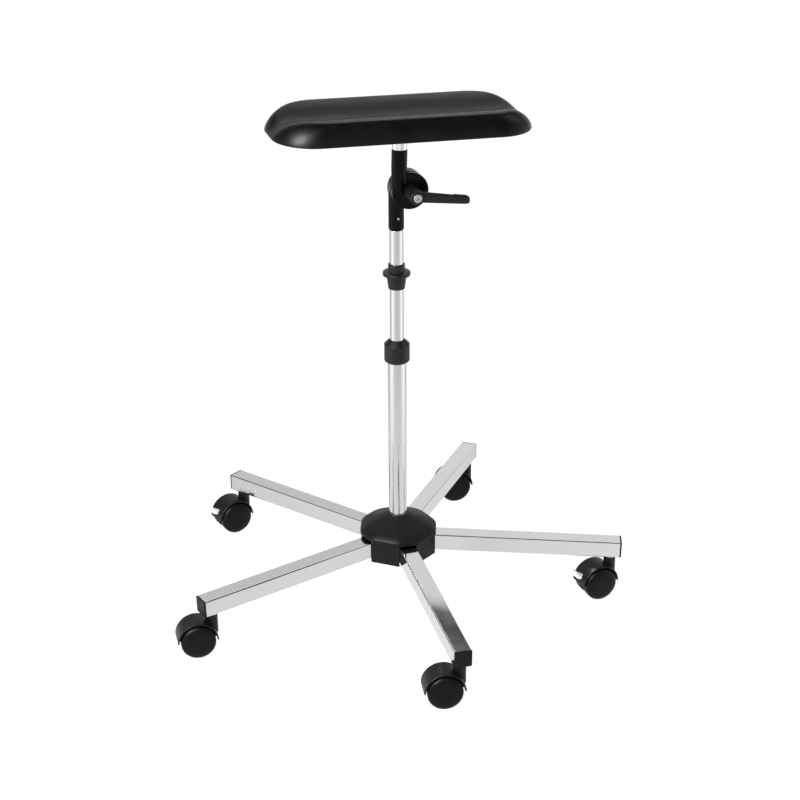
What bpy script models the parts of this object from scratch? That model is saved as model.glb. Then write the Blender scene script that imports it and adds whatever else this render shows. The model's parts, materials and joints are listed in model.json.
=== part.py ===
"""Arm and leg rest stand: a tilting trough pad on a telescopic column and a five-star castor base.

The construction model, in metres with +Z up. Run it with blender --background --python part.py,
or from Blender's text editor. Each mesh object is one physical piece. The empties are the frames
that the pieces are placed in, and a moving piece hangs from an empty on its joint's axis.
"""

import math

import bmesh
import bpy
from mathutils import Matrix, Vector

MM = 0.001
GAP = 0.3 * MM
WELD = 0.01 * MM
CUT_MARGIN = 5 * MM
SHARP_ANGLE = math.radians(32)

# Facets round a turned piece
COLUMN_FACETS = 24
DISC_FACETS = 28
SMALL_FACETS = 12
WHEEL_FACETS = 16

# Castors
WHEEL_RADIUS = 25 * MM
WHEEL_SIDE_GAP = 0.5 * MM
WHEEL_TREAD = 10 * MM
WHEEL_CROWN_RISE = 6 * MM
WHEEL_RIM = 3.6 * MM
WHEEL_WALL = 5 * MM
WHEEL_HUB_WALL = 3.6 * MM
WHEEL_FLAT_SHARE = 0.55
WHEEL_CROWN_STEPS = 5
AXLE_RADIUS = 3 * MM
AXLE_COVER = 6.4 * MM
CASTOR_TRAIL = 22 * MM
HOOD_CLEARANCE = 2 * MM
HOOD_WALL = 2.2 * MM
HOOD_HALF_WIDTH = 17 * MM
HOOD_FRONT_ANGLE = math.radians(1)
HOOD_REAR_ANGLE = math.radians(181)
HOOD_ARC_STEPS = 12
WEB_HALF_WIDTH = 5.5 * MM
AXLE_BOSS_WALL = 6 * MM
AXLE_BOSS_STEPS = 4
AXLE_BOSS_TURN = math.radians(30)
NECK_WALL = 4.5 * MM
NECK_FOOT = 6 * MM
NECK_RISE = 7.1 * MM
SWIVEL_PIN_RADIUS = 4 * MM
SWIVEL_PIN_LENGTH = 15 * MM
STEM_FLANGE_RADIUS = 9 * MM
STEM_FLANGE = 1.9 * MM
STEM_SHANK_RADIUS = 5.5 * MM
STEM_HEADROOM = 5 * MM
STEM_CHAMFER = 1 * MM
STEM_SEAT = 0.7 * MM
CASTOR_TURNS = tuple(math.radians(turn) for turn in (32, 13.5, 8, 23.4, 14.5))

# Brake levers, on the castors of these arms
BRAKED_ARMS = (0, 3)
BRAKE_ANGLE = math.radians(153)
BRAKE_PIVOT_DEPTH = 10 * MM
BRAKE_BARREL = 3.4 * MM
BRAKE_CHEEK = 1.2 * MM
BRAKE_TAB_OVERHANG = 9.5 * MM
BRAKE_TAB_CORNER = 3 * MM
BRAKE_TAB_LENGTH = 9 * MM
BRAKE_TAB_STANDOFF = 5 * MM
BRAKE_THICKNESS = 4.4 * MM
BRAKE_SWING = math.radians(18)

# Star arms
ARM_COUNT = 5
ARM_HEADING = math.radians(141.15)
ARM_SLOPE = math.radians(1.75)
ARM_WIDTH = 25 * MM
ARM_HEIGHT = 25 * MM
ARM_WALL = 1.5 * MM
ARM_CORNER = 1.8 * MM
ARM_LENGTH = 303.6 * MM
CASTOR_INSET = 13.9 * MM
CAP_FLANGE = 1.5 * MM
CAP_PILLOW = 0.8 * MM
CAP_PLUG_TAIL = 8.3 * MM
CORNER_STEPS = 2

# Hub
HUB_POST_WALL = 13.5 * MM
HUB_ARM_GRIP = 26 * MM
HUB_ARM_SEAT = 15 * MM
HUB_FLOOR = 5.8 * MM
HUB_OVER_ARMS = 1.5 * MM
SOCKET_FLOOR = 6 * MM
COVER_OVERHANG = 2.5 * MM
COVER_ARM_MARGIN = 1.5 * MM
COVER_RIM = 5 * MM
COVER_WALL = 2.6 * MM
COVER_SKIRT = 4.5 * MM
COVER_BRIM_RISE = 12.6 * MM
COVER_STEP_MARGIN = 16.5 * MM
COVER_STEP = 0.6 * MM
COVER_CONE_RISE = 10 * MM
COVER_SHARPNESS = 40
COVER_FACETS = 30
COVER_BRIM_RINGS = 4

# Column
INNER_TUBE_RADIUS = 10 * MM
INNER_TUBE_WALL = 1.5 * MM
SLEEVE_WALL = 1.4 * MM
OUTER_TUBE_WALL = 1.5 * MM
OUTER_TUBE_LENGTH = 317.6 * MM
COLUMN_BOLT_RADIUS = 4 * MM
COLUMN_BOLT_HEAD_RADIUS = 7 * MM
COLUMN_BOLT_HEAD = 5 * MM
COLUMN_BOLT_GRIP = 15 * MM
COLUMN_PLUG_ROOF = 3.6 * MM
BOLT_HEAD_ROOM = 2 * MM
COLLAR_WALL = 4.8 * MM
COLLAR_BODY = 25.3 * MM
COLLAR_CONE = 6.6 * MM
COLLAR_CHAMFER = 3 * MM
COLLAR_FOOT_WALL = 0.6 * MM
COLLAR_ROOM = 1.2 * MM
COLLAR_LIP = 3.5 * MM
COLLAR_LIP_WALL = 0.5 * MM
COLLET_SLEEVE = 30 * MM
COLLET_HEAD = 3.1 * MM
COLLET_CONE = 3.1 * MM
COLLET_TIP_WALL = 1 * MM
MAST_DROP = 78 * MM
FOOT_CLEARANCE = 4 * MM
BUSH_HEIGHT = 25 * MM
BUSH_FLANGE = 3 * MM
STOP_DROP = 87.5 * MM
STOP_NECK_WALL = 1.4 * MM
STOP_NECK_BASE_WALL = 2 * MM
STOP_FLANGE_OVERHANG = 9.3 * MM
STOP_FLANGE = 4.4 * MM
STOP_BODY_WALL = 3.6 * MM
STOP_FOOT_WALL = 1.5 * MM
STOP_BODY = 17 * MM
STOP_NECK = 11 * MM
STOP_SLOPE = 3 * MM

# Tilting clamp joint
JOINT_HEADING = math.radians(16.5)
JOINT_TILT = math.radians(1.6)
JOINT_DISC_RADIUS = 26 * MM
JOINT_STEM_LENGTH = 33 * MM
JOINT_STEM_WALL = 3.7 * MM
JOINT_REAR_DISC = 19.2 * MM
JOINT_FRONT_DISC = 8.5 * MM
JOINT_EDGE = 2 * MM
JOINT_SWEEP_ROOM = 1.5 * MM
SPOT_FACE_ROOM = 1.5 * MM
SPOT_FACE_DEPTH = 0.5 * MM
UPPER_STEM_OFFSET = 12 * MM
STUB_STEP = 1.2 * MM
STUB_FLOOR = 3.5 * MM
PLUG_DEPTH = 28 * MM
SET_SCREW_RADIUS = 2.5 * MM
SET_SCREW_INSET = 17.5 * MM
CLAMP_BOLT_RADIUS = 4 * MM
CLAMP_HEAD_RADIUS = 8 * MM
CLAMP_HEAD = 4 * MM
CLAMP_HEAD_CROWN = 1.4 * MM

# Clamping lever
INSERT_WALL = 2.2 * MM
INSERT_FLANGE_OVERHANG = 2.5 * MM
INSERT_FLANGE = 2.1 * MM
INSERT_LENGTH = 16.1 * MM
INSERT_THREAD = 9 * MM
LEVER_HUB_WALL = 3.4 * MM
LEVER_HUB_DRAFT = 0.8 * MM
LEVER_NOSE_EDGE = 1 * MM
LEVER_SHOULDER_ROOM = 1.25 * MM
LEVER_SHOULDER = 2.5 * MM
LEVER_PULL = 3.5 * MM
LEVER_REACH = 73.5 * MM
LEVER_ROOT_DEPTH = 15.2 * MM
LEVER_TIP_DEPTH = 11.4 * MM
LEVER_ROOT_THICKNESS = 11 * MM
LEVER_TIP_THICKNESS = 8.5 * MM
LEVER_CORNER_SHARE = 0.4
LEVER_RISE = 12 * MM
LEVER_THUMB_LENGTH = 16 * MM
LEVER_THUMB_RAMP = 2 * MM
LEVER_THUMB_STEP = 1 * MM
LEVER_ARM_BELOW_NOSE = 9.5 * MM
LEVER_TURN = math.radians(5.9)
LEVER_TIP_STEPS = 3
LEVER_SCREW_RADIUS = 2.5 * MM
LEVER_SCREW_HEAD = 4 * MM
LEVER_SCREW_STEP = 0.4 * MM
SPRING_LENGTH = 6 * MM
SPRING_ROOM = 1 * MM
SPRING_WIRE = 0.4 * MM
SPRING_TURNS = 4
SPRING_POINTS_PER_TURN = 10

# Pad
SPIGOT_STEP = 4.1 * MM
SPIGOT_LENGTH = 25.3 * MM
PLATE_LENGTH = 160 * MM
PLATE_WIDTH = 84 * MM
PLATE_THICKNESS = 3 * MM
PLATE_CORNER = 10 * MM
PAD_LENGTH = 361.5 * MM
PAD_WIDTH = 147.5 * MM
PAD_CORNER = 57 * MM
PAD_SHIFT = 1.5 * MM
PAD_CREST = 29.5 * MM
PAD_TROUGH = 13 * MM
PAD_CREST_SPACING = 106 * MM
PAD_SHOULDER = 14.5 * MM
PAD_END_STRETCH = 1.8
PAD_CORNER_STEPS = 8
PAD_RINGS = 14
PAD_EDGE_POWER = 1.55
PAD_LAST_RING = 0.97
PAD_RING_CROWDING = 1.5

# Sizes that follow from the ones above: castors
AXLE_HEIGHT = WHEEL_RADIUS
WHEEL_INNER_FACE = WEB_HALF_WIDTH + WHEEL_SIDE_GAP
WHEEL_RIM_FACE = WHEEL_INNER_FACE + WHEEL_TREAD
WHEEL_CROWN = WHEEL_RIM_FACE + WHEEL_CROWN_RISE
WHEEL_BORE_END = WHEEL_CROWN - AXLE_COVER
AXLE_HALF_LENGTH = WHEEL_BORE_END - 2 * GAP
WHEEL_ROOM = WHEEL_RADIUS + HOOD_CLEARANCE
HOOD_RADIUS = WHEEL_ROOM + HOOD_WALL
NECK_RADIUS = SWIVEL_PIN_RADIUS + GAP + NECK_WALL
NECK_TOP = AXLE_HEIGHT + HOOD_RADIUS + NECK_RISE
STEM_FLANGE_LOW = NECK_TOP + GAP
STEM_FLANGE_TOP = STEM_FLANGE_LOW + STEM_FLANGE
CASTOR_HEIGHT = STEM_FLANGE_TOP + STEM_SEAT
STEM_SHANK = ARM_HEIGHT - STEM_HEADROOM
SWIVEL_PIN_END = STEM_FLANGE_LOW - SWIVEL_PIN_LENGTH
BRAKE_PIVOT_RADIUS = HOOD_RADIUS - BRAKE_PIVOT_DEPTH
BRAKE_STEM_HALF_WIDTH = WEB_HALF_WIDTH - BRAKE_CHEEK - GAP
BRAKE_TAB_HALF_WIDTH = BRAKE_STEM_HALF_WIDTH + BRAKE_TAB_OVERHANG

# Sizes that follow: column and star
OUTER_BORE = INNER_TUBE_RADIUS + SLEEVE_WALL + 2 * GAP
OUTER_TUBE_RADIUS = OUTER_BORE + OUTER_TUBE_WALL
INNER_BORE = INNER_TUBE_RADIUS - INNER_TUBE_WALL
SLIDE_BORE = INNER_TUBE_RADIUS + GAP
ARM_ROOT = OUTER_TUBE_RADIUS + HUB_POST_WALL
ARM_REACH = ARM_ROOT + ARM_LENGTH
CASTOR_RADIUS = ARM_REACH - CASTOR_INSET
CAP_PLUG = CASTOR_INSET + STEM_SHANK_RADIUS + GAP + CAP_PLUG_TAIL
HUB_FLAT = ARM_ROOT + HUB_ARM_GRIP
COVER_FLAT = HUB_FLAT + COVER_OVERHANG
COVER_STEP_RADIUS = OUTER_TUBE_RADIUS + COVER_STEP_MARGIN
ARM_RISE = math.tan(ARM_SLOPE)


def arm_underside(radius):
    """Height of the arms' underside at a distance from the column's axis."""
    return CASTOR_HEIGHT + ARM_RISE * (CASTOR_RADIUS - radius)


def arm_top(radius):
    """Height of the arms' top face at a distance from the column's axis."""
    return arm_underside(radius) + ARM_HEIGHT / math.cos(ARM_SLOPE)


HUB_BOTTOM = arm_underside(HUB_FLAT) - HUB_FLOOR
HUB_TOP = arm_top(ARM_ROOT) + HUB_OVER_ARMS
BOLT_SEAT = HUB_BOTTOM + COLUMN_BOLT_HEAD + BOLT_HEAD_ROOM / 2
OUTER_TUBE_BOTTOM = BOLT_SEAT + SOCKET_FLOOR + GAP
OUTER_TUBE_TOP = OUTER_TUBE_BOTTOM + OUTER_TUBE_LENGTH
COLUMN_BOLT_END = OUTER_TUBE_BOTTOM + COLUMN_BOLT_GRIP
COLUMN_PLUG_TOP = COLUMN_BOLT_END + GAP + COLUMN_PLUG_ROOF
COLLET_BASE = OUTER_TUBE_TOP + GAP
COLLET_SHOULDER = COLLET_BASE + COLLET_HEAD
COLLET_TOP = COLLET_SHOULDER + COLLET_CONE
COLLAR_TOP = COLLET_TOP + COLLAR_ROOM + COLLAR_LIP
STOP_FOOT = COLLAR_TOP + MAST_DROP
INNER_TUBE_TOP = STOP_FOOT + STOP_DROP
INNER_TUBE_BOTTOM = COLUMN_PLUG_TOP + FOOT_CLEARANCE + MAST_DROP + BUSH_FLANGE + GAP

# Sizes that follow: joint, lever and pad
STUB_RADIUS = INNER_BORE - GAP - STUB_STEP
STUB_DEPTH = JOINT_STEM_LENGTH - STUB_FLOOR
JOINT_STEM_RADIUS = STUB_RADIUS + GAP + JOINT_STEM_WALL
JOINT_REACH = JOINT_DISC_RADIUS + JOINT_STEM_LENGTH
JOINT_HEIGHT = INNER_TUBE_TOP + GAP + JOINT_REACH
JOINT_OFFSET = JOINT_DISC_RADIUS - JOINT_STEM_RADIUS
LOWER_FACE = JOINT_STEM_RADIUS + GAP / 2
UPPER_FACE = LOWER_FACE + GAP
FRONT_FACE = UPPER_FACE + JOINT_FRONT_DISC
REAR_FACE = JOINT_REAR_DISC - LOWER_FACE
INSERT_RADIUS = CLAMP_BOLT_RADIUS + GAP + INSERT_WALL
SPOT_FACE = FRONT_FACE - SPOT_FACE_DEPTH
INSERT_BASE = SPOT_FACE + GAP
INSERT_TOP = INSERT_BASE + INSERT_LENGTH
THREAD_END = INSERT_BASE + INSERT_THREAD
LEVER_BASE = INSERT_BASE + INSERT_FLANGE + GAP
LEVER_SHOULDER_BASE = INSERT_TOP + LEVER_SHOULDER_ROOM
LEVER_SHOULDER_TOP = LEVER_SHOULDER_BASE + LEVER_SHOULDER
SCREW_SEAT = LEVER_SHOULDER_TOP + GAP + SPRING_LENGTH + LEVER_PULL + GAP
LEVER_NOSE = SCREW_SEAT + LEVER_SCREW_HEAD
LEVER_HUB_RADIUS = INSERT_RADIUS + GAP + LEVER_HUB_WALL
LEVER_NOSE_RADIUS = LEVER_HUB_RADIUS - LEVER_HUB_DRAFT
LEVER_SCREW_HEAD_RADIUS = INSERT_RADIUS - LEVER_SCREW_STEP
LEVER_HEAD_BORE = LEVER_SCREW_HEAD_RADIUS + GAP
SPRING_RADIUS = LEVER_HEAD_BORE - SPRING_WIRE - SPRING_ROOM
SPIGOT_RADIUS = STUB_RADIUS + SPIGOT_STEP
SPIGOT_BASE = JOINT_REACH + GAP
PLATE_BASE = SPIGOT_BASE + SPIGOT_LENGTH + GAP
PAD_BASE = PLATE_BASE + PLATE_THICKNESS + GAP


# Finishes

def make_finish(name, colour, roughness, metallic):
    """A Principled material with one colour, roughness and metallic value."""
    material = bpy.data.materials.new(name)
    material.use_nodes = True
    shader = material.node_tree.nodes["Principled BSDF"]
    shader.inputs["Base Color"].default_value = (*colour, 1)
    shader.inputs["Roughness"].default_value = roughness
    shader.inputs["Metallic"].default_value = metallic
    return material


def make_finishes():
    """The stand's finishes, by name."""
    return {
        "chrome": make_finish("chrome_plate", (0.78, 0.78, 0.79), 0.08, 1),
        "steel": make_finish("zinc_plated_steel", (0.62, 0.62, 0.63), 0.35, 1),
        "nylon": make_finish("black_nylon", (0.018, 0.018, 0.019), 0.45, 0),
        "castor": make_finish("castor_nylon", (0.022, 0.021, 0.022), 0.5, 0),
        "casting": make_finish("black_lacquered_zinc", (0.014, 0.014, 0.015), 0.3, 0),
        "brake": make_finish("light_grey_nylon", (0.76, 0.76, 0.76), 0.45, 0),
        "pad": make_finish("polyurethane_skin", (0.012, 0.012, 0.012), 0.42, 0),
    }


# Frames and objects

def make_frame(name, parent, location=(0, 0, 0), rotation=(0, 0, 0)):
    """An empty that pieces are placed in."""
    frame = bpy.data.objects.new(name, None)
    bpy.context.scene.collection.objects.link(frame)
    frame.parent = parent
    frame.location = location
    frame.rotation_euler = rotation
    return frame


def make_piece(name, mesh, material, parent, location=(0, 0, 0), rotation=(0, 0, 0)):
    """An object of one physical piece, with its finish, in a frame."""
    piece = bpy.data.objects.new(name, mesh)
    bpy.context.scene.collection.objects.link(piece)
    piece.parent = parent
    piece.location = location
    piece.rotation_euler = rotation
    if not mesh.materials:
        mesh.materials.append(material)
        mesh.shade_smooth()
        mesh.set_sharp_from_angle(angle=SHARP_ANGLE)
    return piece


def to_mesh(shape, name):
    """Close a bmesh and turn it into a mesh whose faces point out."""
    bmesh.ops.remove_doubles(shape, verts=shape.verts, dist=WELD)
    bmesh.ops.recalc_face_normals(shape, faces=shape.faces)
    mesh = bpy.data.meshes.new(name)
    shape.to_mesh(mesh)
    shape.free()
    return mesh


def moved(mesh, matrix):
    """The same mesh, moved by a matrix."""
    mesh.transform(matrix)
    return mesh


def combined(base, others, operation):
    """The mesh of a solid after a Boolean with each of the other solids."""
    collection = bpy.context.scene.collection
    body = bpy.data.objects.new(base.name, base)
    collection.objects.link(body)
    tools = []
    for other in others:
        tool = bpy.data.objects.new(other.name, other)
        collection.objects.link(tool)
        modifier = body.modifiers.new("boolean", "BOOLEAN")
        modifier.operation = operation
        modifier.solver = "EXACT"
        modifier.object = tool
        tools.append(tool)
    bpy.context.view_layer.update()
    evaluated = body.evaluated_get(bpy.context.evaluated_depsgraph_get())
    mesh = bpy.data.meshes.new_from_object(evaluated)
    for spent in (body, *tools):
        bpy.data.objects.remove(spent)
    return mesh


# Basic shapes

def turned(name, profile, facets):
    """A solid of revolution about Z. The profile is a ring, or runs from the axis to the axis."""
    shape = bmesh.new()
    start = Matrix.Rotation(math.pi / facets, 3, "Z")
    verts = [shape.verts.new(start @ Vector((radius, 0, height))) for radius, height in profile]
    edges = [shape.edges.new(pair) for pair in zip(verts, verts[1:])]
    if profile[0][0] > 0:
        edges.append(shape.edges.new((verts[-1], verts[0])))
    bmesh.ops.spin(
        shape, geom=verts + edges, cent=(0, 0, 0), axis=(0, 0, 1),
        angle=2 * math.pi, steps=facets, use_merge=True)
    return to_mesh(shape, name)


def cylinder(name, radius, low, high, facets):
    """A plain cylinder about Z."""
    return turned(name, [(0, low), (radius, low), (radius, high), (0, high)], facets)


def ring(name, inner, outer, low, high, facets):
    """A plain tube about Z."""
    return turned(name, [(inner, low), (outer, low), (outer, high), (inner, high)], facets)


def prism(name, outline, low, high):
    """An outline in X and Y, extruded along Z."""
    shape = bmesh.new()
    face = shape.faces.new([shape.verts.new((x, y, low)) for x, y in outline])
    extruded = bmesh.ops.extrude_face_region(shape, geom=[face])
    top = [item for item in extruded["geom"] if isinstance(item, bmesh.types.BMVert)]
    bmesh.ops.translate(shape, verts=top, vec=(0, 0, high - low))
    return to_mesh(shape, name)


def box(name, low, high):
    """A block between two corners."""
    outline = [(low[0], low[1]), (high[0], low[1]), (high[0], high[1]), (low[0], high[1])]
    return prism(name, outline, low[2], high[2])


def join_rows(shape, rows):
    """Faces between each closed row of vertices and the next."""
    for row, following in zip(rows, rows[1:]):
        for i in range(len(row)):
            j = (i + 1) % len(row)
            shape.faces.new((row[i], row[j], following[j], following[i]))


def lofted(name, sections):
    """A solid through closed sections of equal point counts, with flat ends."""
    shape = bmesh.new()
    rows = [[shape.verts.new(point) for point in section] for section in sections]
    join_rows(shape, rows)
    shape.faces.new(rows[0])
    shape.faces.new(rows[-1])
    return to_mesh(shape, name)


def rounded_rectangle(width, height, radius, steps):
    """Points round a rectangle with rounded corners, about the origin."""
    points = []
    corners = ((1, 1, 0), (-1, 1, 1), (-1, -1, 2), (1, -1, 3))
    for side, level, quarter in corners:
        for step in range(steps + 1):
            angle = math.pi / 2 * (quarter + step / steps)
            x = side * (width / 2 - radius) + radius * math.cos(angle)
            y = level * (height / 2 - radius) + radius * math.sin(angle)
            points.append((x, y))
    return points


# Pieces along Y are turned about Z and then laid down, with +Z going to -Y
LAY_DOWN = Matrix.Rotation(math.pi / 2, 4, "X")


# Star base

def arm_heading(index):
    """The direction of an arm, seen from above."""
    return ARM_HEADING + index * 2 * math.pi / ARM_COUNT


def arm_matrix(index):
    """The frame of an arm: +X along the tube, on its centre line, from the column's axis."""
    centre = (arm_underside(0) + arm_top(0)) / 2
    turn = Matrix.Rotation(arm_heading(index), 4, "Z") @ Matrix.Rotation(ARM_SLOPE, 4, "Y")
    return Matrix.Translation((0, 0, centre)) @ turn


def castor_matrix(index):
    """The frame of a castor's stem: upright, on the floor, with +X along the arm."""
    place = Matrix.Translation((CASTOR_RADIUS, 0, 0))
    return Matrix.Rotation(arm_heading(index), 4, "Z") @ place


def stem_bore():
    """The castor stem's upright bore, in the frame of an arm."""
    low = CASTOR_HEIGHT - CUT_MARGIN
    bore = cylinder("stem_bore", STEM_SHANK_RADIUS + GAP, low, CASTOR_HEIGHT + STEM_SHANK, SMALL_FACETS)
    return moved(bore, arm_matrix(0).inverted() @ castor_matrix(0))


def tube_section(inset, radius, distance):
    """A rounded rectangle inside an arm's outline, at a distance along the arm."""
    outline = rounded_rectangle(ARM_WIDTH - 2 * inset, ARM_HEIGHT - 2 * inset, radius, CORNER_STEPS)
    return [(distance, y, z) for y, z in outline]


def inner_corner(inset):
    """The corner radius at a depth inside an arm's outline."""
    return max(ARM_CORNER - inset, ARM_CORNER / CORNER_STEPS)


def make_arm_mesh():
    """One square tube, open at both ends, with the castor stem's hole in its lower wall."""
    outside = lofted("arm", [tube_section(0, ARM_CORNER, distance) for distance in (ARM_ROOT, ARM_REACH)])
    ends = (ARM_ROOT - CUT_MARGIN, ARM_REACH + CUT_MARGIN)
    inside = lofted("arm_bore", [tube_section(ARM_WALL, inner_corner(ARM_WALL), end) for end in ends])
    return combined(outside, [inside, stem_bore()], "DIFFERENCE")


def make_end_cap_mesh():
    """One moulded end cap: a pillowed flange and a plug that holds the castor's stem."""
    fit = ARM_WALL + GAP
    seat = ARM_REACH + GAP
    face = seat + CAP_FLANGE
    cap = lofted("end_cap", [
        tube_section(fit, inner_corner(fit), ARM_REACH - CAP_PLUG),
        tube_section(fit, inner_corner(fit), seat),
        tube_section(0, ARM_CORNER, seat),
        tube_section(0, ARM_CORNER, face),
        tube_section(CAP_PILLOW, ARM_CORNER, face + CAP_PILLOW)])
    return combined(cap, [stem_bore()], "DIFFERENCE")


def make_arms(stand, finishes):
    """The five chromed arms and their end caps."""
    arm_mesh = make_arm_mesh()
    cap_mesh = make_end_cap_mesh()
    for index in range(ARM_COUNT):
        number = index + 1
        frame = make_frame(f"arm_frame_{number}", stand)
        frame.matrix_local = arm_matrix(index)
        make_piece(f"arm_{number}", arm_mesh, finishes["chrome"], frame)
        make_piece(f"end_cap_{number}", cap_mesh, finishes["nylon"], frame)


def make_hub_body(stand, finishes):
    """The moulded hub: a five-sided block with a slot for each arm and the column's socket."""
    corner = HUB_FLAT / math.cos(math.pi / ARM_COUNT)
    headings = [arm_heading(index) for index in range(ARM_COUNT)]
    outline = [(corner * math.cos(heading), corner * math.sin(heading)) for heading in headings]
    block = prism("hub_body", outline, HUB_BOTTOM, HUB_TOP)
    half_slot = ARM_WIDTH / 2 + GAP
    slot_floor = -ARM_HEIGHT / 2 - GAP
    slot_high = (corner + CUT_MARGIN, half_slot, ARM_HEIGHT / 2 + CUT_MARGIN)
    below = slot_floor - HUB_FLOOR - CUT_MARGIN
    cutters = []
    for index in range(ARM_COUNT):
        slot = box("slot", (ARM_ROOT - GAP, -half_slot, slot_floor), slot_high)
        mouth = box("slot_mouth", (ARM_ROOT + HUB_ARM_SEAT, -half_slot, below), slot_high)
        cutters += [moved(slot, arm_matrix(index)), moved(mouth, arm_matrix(index))]
    floor = OUTER_TUBE_BOTTOM - GAP
    recess_radius = COLUMN_BOLT_HEAD_RADIUS + BOLT_HEAD_ROOM
    cutters.append(cylinder("socket", OUTER_TUBE_RADIUS + GAP, floor, HUB_TOP + CUT_MARGIN, COLUMN_FACETS))
    bolt_hole = COLUMN_BOLT_RADIUS + GAP
    cutters.append(cylinder("bolt_hole", bolt_hole, HUB_BOTTOM, floor + CUT_MARGIN, SMALL_FACETS))
    cutters.append(cylinder("recess", recess_radius, HUB_BOTTOM - CUT_MARGIN, BOLT_SEAT, SMALL_FACETS))
    make_piece("hub_body", combined(block, cutters, "DIFFERENCE"), finishes["nylon"], stand)


def cover_ring(reach, roundness, height):
    """A ring of the hub cover: a pentagon with cut corners that fades into a circle at roundness 1."""
    points = []
    for index in range(COVER_FACETS):
        angle = ARM_HEADING + (index + 0.5) * 2 * math.pi / COVER_FACETS
        total = 0
        for side in range(ARM_COUNT):
            over_block = max(0, math.cos(angle - arm_heading(side + 0.5)))
            over_arm = max(0, math.cos(angle - arm_heading(side))) * reach / (reach + COVER_ARM_MARGIN)
            total += over_block ** COVER_SHARPNESS + over_arm ** COVER_SHARPNESS
        outline = reach * total ** (-1 / COVER_SHARPNESS)
        radius = outline + (reach - outline) * roundness
        points.append((radius * math.cos(angle), radius * math.sin(angle), height))
    return points


def make_hub_cover(stand, finishes):
    """The moulded hub cover: a skirt, a softly domed brim and a cone round the column, hollow below."""
    base = HUB_TOP + GAP
    bore = OUTER_TUBE_RADIUS + GAP
    shoulder = base + COVER_SKIRT
    brim = shoulder + COVER_BRIM_RISE
    cone = brim + COVER_STEP
    top = cone + COVER_CONE_RISE
    sections = [cover_ring(COVER_FLAT, 0, base)]
    for step in range(COVER_BRIM_RINGS + 1):
        share = step / COVER_BRIM_RINGS
        turn = share * math.pi / 2
        reach = COVER_STEP_RADIUS + (COVER_FLAT - COVER_STEP_RADIUS) * math.cos(turn)
        sections.append(cover_ring(reach, share, shoulder + COVER_BRIM_RISE * math.sin(turn)))
    inner_rim = COVER_FLAT - COVER_RIM
    sections += [
        cover_ring(COVER_STEP_RADIUS - COVER_STEP, 1, cone),
        cover_ring(bore, 1, top),
        cover_ring(bore, 1, top - COVER_WALL),
        cover_ring(COVER_STEP_RADIUS - COVER_WALL, 1, brim - COVER_WALL),
        cover_ring(inner_rim, 0, shoulder),
        cover_ring(inner_rim, 0, base)]
    shape = bmesh.new()
    rows = [[shape.verts.new(point) for point in section] for section in sections]
    join_rows(shape, rows + rows[:1])
    make_piece("hub_cover", to_mesh(shape, "hub_cover"), finishes["nylon"], stand)


# Castors. In their frames +X points from the axle to the swivel axis, which is the origin.

def at_axle(radius, angle):
    """A point in X and Z, by its distance and angle from a castor's axle."""
    return (radius * math.cos(angle) - CASTOR_TRAIL, radius * math.sin(angle) + AXLE_HEIGHT)


def arc_at_axle(radius, start, end, steps):
    """Points in X and Z along an arc about a castor's axle."""
    return [at_axle(radius, start + (end - start) * step / steps) for step in range(steps + 1)]


def side_prism(name, outline, half_width):
    """An outline in X and Z, given thickness along Y about the castor's middle plane."""
    return moved(prism(name, outline, -half_width, half_width), LAY_DOWN)


def axle_cylinder(name, radius, half_length, facets):
    """A cylinder on a castor's axle."""
    place = Matrix.Translation((-CASTOR_TRAIL, 0, AXLE_HEIGHT))
    return moved(cylinder(name, radius, -half_length, half_length, facets), place @ LAY_DOWN)


def make_stem_mesh():
    """One castor stem: the shank held in the arm, a flange and the swivel pin below."""
    shank_top = STEM_FLANGE_TOP + STEM_SHANK
    return turned("castor_stem", [
        (0, SWIVEL_PIN_END),
        (SWIVEL_PIN_RADIUS, SWIVEL_PIN_END),
        (SWIVEL_PIN_RADIUS, STEM_FLANGE_LOW),
        (STEM_FLANGE_RADIUS, STEM_FLANGE_LOW),
        (STEM_FLANGE_RADIUS, STEM_FLANGE_TOP),
        (STEM_SHANK_RADIUS, STEM_FLANGE_TOP),
        (STEM_SHANK_RADIUS, shank_top - STEM_CHAMFER),
        (STEM_SHANK_RADIUS - STEM_CHAMFER, shank_top),
        (0, shank_top)], SMALL_FACETS)


def brake_matrix():
    """The frame of a brake lever: its pivot, with +X out of the hood and +Z the way it is pressed."""
    x, z = at_axle(BRAKE_PIVOT_RADIUS, BRAKE_ANGLE)
    return Matrix.Translation((x, 0, z)) @ Matrix.Rotation(-BRAKE_ANGLE, 4, "Y")


def brake_slot():
    """The slot in a hood that a brake lever swings in."""
    clear = BRAKE_STEM_HALF_WIDTH + GAP
    reach = BRAKE_PIVOT_DEPTH + CUT_MARGIN
    swept = reach * math.sin(BRAKE_SWING) + BRAKE_THICKNESS / 2 + GAP
    barrel = BRAKE_BARREL + GAP
    low = (-barrel, -clear, -barrel)
    high = (reach, clear, max(swept, barrel))
    return moved(box("brake_slot", low, high), brake_matrix())


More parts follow.
